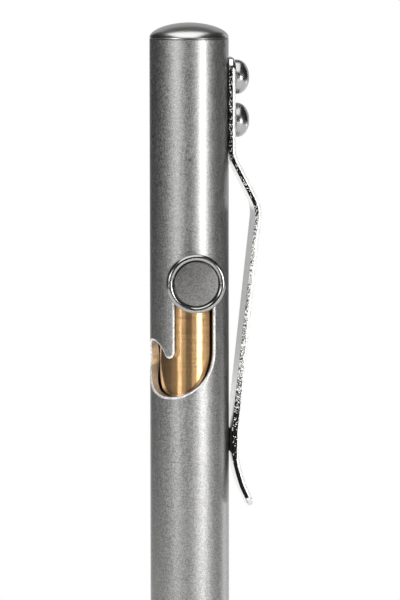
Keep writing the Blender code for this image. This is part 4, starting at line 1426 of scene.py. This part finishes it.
class PEN_OT_studio(bpy.types.Operator):
    """Set up the white studio: floor, dark cloth, lit panels and the camera"""

    bl_idname = "pen.studio"
    bl_label = "Studio"
    bl_options = {"REGISTER", "UNDO"}

    def execute(self, context):
        scene = context.scene
        studio = scene.pen.studio
        scene.view_settings.view_transform = "Standard"
        self.light_world(scene, studio)
        self.lay_floor()
        self.hang_flags(studio)
        self.hang_panels(studio)
        self.aim_camera(scene, studio)
        return {"FINISHED"}

    def light_world(self, scene, studio):
        """White where it is seen, a plain grey level as light."""
        world = bpy.data.worlds.new("studio_air")
        world.use_nodes = True
        world.cycles.sampling_method = "NONE"
        scene.world = world
        tree = world.node_tree
        mix = tree.nodes.new("ShaderNodeMix")
        mix.data_type = "RGBA"
        mix.inputs[MIX_FIRST].default_value = (studio.fill, studio.fill, studio.fill, 1.0)
        mix.inputs[MIX_SECOND].default_value = (1.0, 1.0, 1.0, 1.0)
        tree.links.new(seen_directly(tree), mix.inputs[MIX_SHARE])
        tree.links.new(mix.outputs[MIX_RESULT], tree.nodes["Background"].inputs["Color"])

    def lay_floor(self):
        """A pale floor that fades into the white round it."""
        form = bmesh.new()
        bmesh.ops.create_circle(form, cap_ends=True, segments=FLOOR_STEPS, radius=FLOOR_RADIUS)
        made = Finish("floor_paper", (0.86, 0.86, 0.86), 0.7, 0.0)
        made.coat(made.drift(patch=0.004, spread=0.01))
        far = made.node("ShaderNodeVectorMath", {"operation": "LENGTH"})
        made.link(made.place, far.inputs[0])
        shown = made.node("ShaderNodeMath", {"operation": "MULTIPLY"})
        made.link(made.mapped(far.outputs["Value"], FLOOR_FADE), shown.inputs[0])
        made.link(seen_directly(made.tree), shown.inputs[1])
        glow = made.node("ShaderNodeEmission")
        mix = made.node("ShaderNodeMixShader")
        for place, source in enumerate((shown, made.shader, glow)):
            made.link(source.outputs[0], mix.inputs[place])
        made.link(mix.outputs[0], made.tree.nodes["Material Output"].inputs["Surface"])
        floor = to_object("studio_floor", form, [made.material])
        floor.location.z = -FLOOR_DEPTH

    def hang_flags(self, studio):
        """Black cloth round and over the pen, open at the back, that only reflections can see."""
        made = Finish("flag_cloth", (0.01, 0.01, 0.01), 0.9, 0.0)
        made.coat(made.drift(patch=0.02, spread=0.1))
        for name, form in (
            ("ring", self.ring_panel(studio, *FLAG_RING)),
            ("roof", self.roof_panel(studio, *FLAG_ROOF)),
        ):
            flag = to_object(f"studio_flag_{name}", form, [made.material])
            flag.visible_diffuse = False
            self.hide_from_view(flag)

    def hang_panels(self, studio):
        """Lit panels left and right of the camera, low round the floor, at the back and overhead."""
        panels = []
        for name, level, power, *place in PANELS:
            panels.append((name, level * getattr(studio, power), self.ring_panel(studio, *place, PANEL_FAR)))
        for name, level, *place in ROOF_PANELS:
            panels.append((name, level * studio.top_power, self.roof_panel(studio, *place)))
        for name, level, form in panels:
            made = Finish(f"panel_{name}", (1.0, 1.0, 1.0), 0.9, 0.0)
            glow = made.node("ShaderNodeEmission", Strength=level)
            made.link(glow.outputs[0], made.tree.nodes["Material Output"].inputs["Surface"])
            self.hide_from_view(to_object(f"studio_panel_{name}", form, [made.material]))

    def hide_from_view(self, panel):
        """Keep a panel out of the picture and out of shadows."""
        panel.visible_camera = False
        panel.visible_shadow = False

    def strip_panel(self, edges):
        """A panel of facets between pairs of points along its two edges."""
        form = bmesh.new()
        rows = [[form.verts.new(spot) for spot in pair] for pair in edges]
        for here, after in zip(rows, rows[1:]):
            form.faces.new((here[0], after[0], after[1], here[1]))
        return form

    def ring_panel(self, studio, start, end, low, high, far):
        """An upright curved panel between two angles from the camera's direction, in degrees."""
        edges = []
        for step in range(PANEL_STEPS + 1):
            turn = studio.azimuth + math.radians(start + (end - start) * step / PANEL_STEPS)
            edges.append([(far * math.sin(turn), -far * math.cos(turn), height) for height in (low, high)])
        return self.strip_panel(edges)

    def roof_panel(self, studio, start, end, far, half, shift=0.0):
        """A panel that arches over the pen from the camera's side to the back, between two angles."""
        side = Vector((math.cos(studio.azimuth), math.sin(studio.azimuth), 0.0))
        front = Vector((math.sin(studio.azimuth), -math.cos(studio.azimuth), 0.0))
        edges = []
        for step in range(PANEL_STEPS + 1):
            rise = math.radians(start + (end - start) * step / PANEL_STEPS)
            spot = front * far * math.cos(rise) + Vector((0.0, 0.0, ROOF_FOOT + far * math.sin(rise)))
            edges.append([spot + side * (shift + reach) for reach in (-half, half)])
        return self.strip_panel(edges)

    def aim_camera(self, scene, studio):
        """Camera at the photograph's angle."""
        turn, rise = studio.azimuth, studio.elevation
        back = Vector((math.sin(turn) * math.cos(rise), -math.cos(turn) * math.cos(rise), math.sin(rise)))
        right = Vector((math.cos(turn), math.sin(turn), 0.0))
        up = back.cross(right)
        lens = bpy.data.cameras.new("studio_camera")
        lens.lens = studio.lens
        lens.sensor_width = 36.0
        lens.clip_start = 0.01
        lens.clip_end = 50.0
        camera = bpy.data.objects.new("studio_camera", lens)
        scene.collection.objects.link(camera)
        aim = right * studio.aim_side + Vector((0.0, 0.0, studio.aim_height))
        place = aim + back * studio.distance
        turned = Matrix((right, up, back)).transposed().to_4x4() @ Matrix.Rotation(studio.roll, 4, "Z")
        camera.matrix_world = Matrix.Translation(place) @ turned
        scene.camera = camera


class PEN_PT_sidebar(bpy.types.Panel):
    """Sizes, finishes and builders of the pen"""

    bl_idname = "PEN_PT_sidebar"
    bl_label = "Bolt Action Pen"
    bl_space_type = "VIEW_3D"
    bl_region_type = "UI"
    bl_category = "Pen"

    def draw(self, context):
        """List the groups of settings, then the builders."""
        pen = context.scene.pen
        for name in ("body", "slot", "bolt", "clip", "finish", "studio"):
            group = getattr(pen, name)
            box = self.layout.box()
            box.label(text=name.capitalize())
            for field in group.__annotations__:
                box.prop(group, field)
        for operator in BUILDERS:
            self.layout.operator(operator.bl_idname)


BUILDERS = (
    PEN_OT_barrel,
    PEN_OT_end_plug,
    PEN_OT_pocket_clip,
    PEN_OT_clip_screws,
    PEN_OT_bolt,
    PEN_OT_plunger,
    PEN_OT_refill,
    PEN_OT_return_spring,
    PEN_OT_front_section,
    PEN_OT_studio,
)
SETTINGS = (PenBody, PenSlot, PenBolt, PenClip, PenFinish, PenStudio, Pen)


def register():
    """Make the settings, builders and panel known."""
    for made in (*SETTINGS, *BUILDERS, PEN_PT_sidebar):
        bpy.utils.register_class(made)
    bpy.types.Scene.pen = bpy.props.PointerProperty(type=Pen)


def unregister():
    """Take the settings, builders and panel away again."""
    del bpy.types.Scene.pen
    for made in reversed((*SETTINGS, *BUILDERS, PEN_PT_sidebar)):
        bpy.utils.unregister_class(made)


def main():
    """Register the settings, then build every piece and the studio."""
    register()
    for operator in BUILDERS:
        group, name = operator.bl_idname.split(".")
        getattr(getattr(bpy.ops, group), name)()


if __name__ == "__main__":
    main()
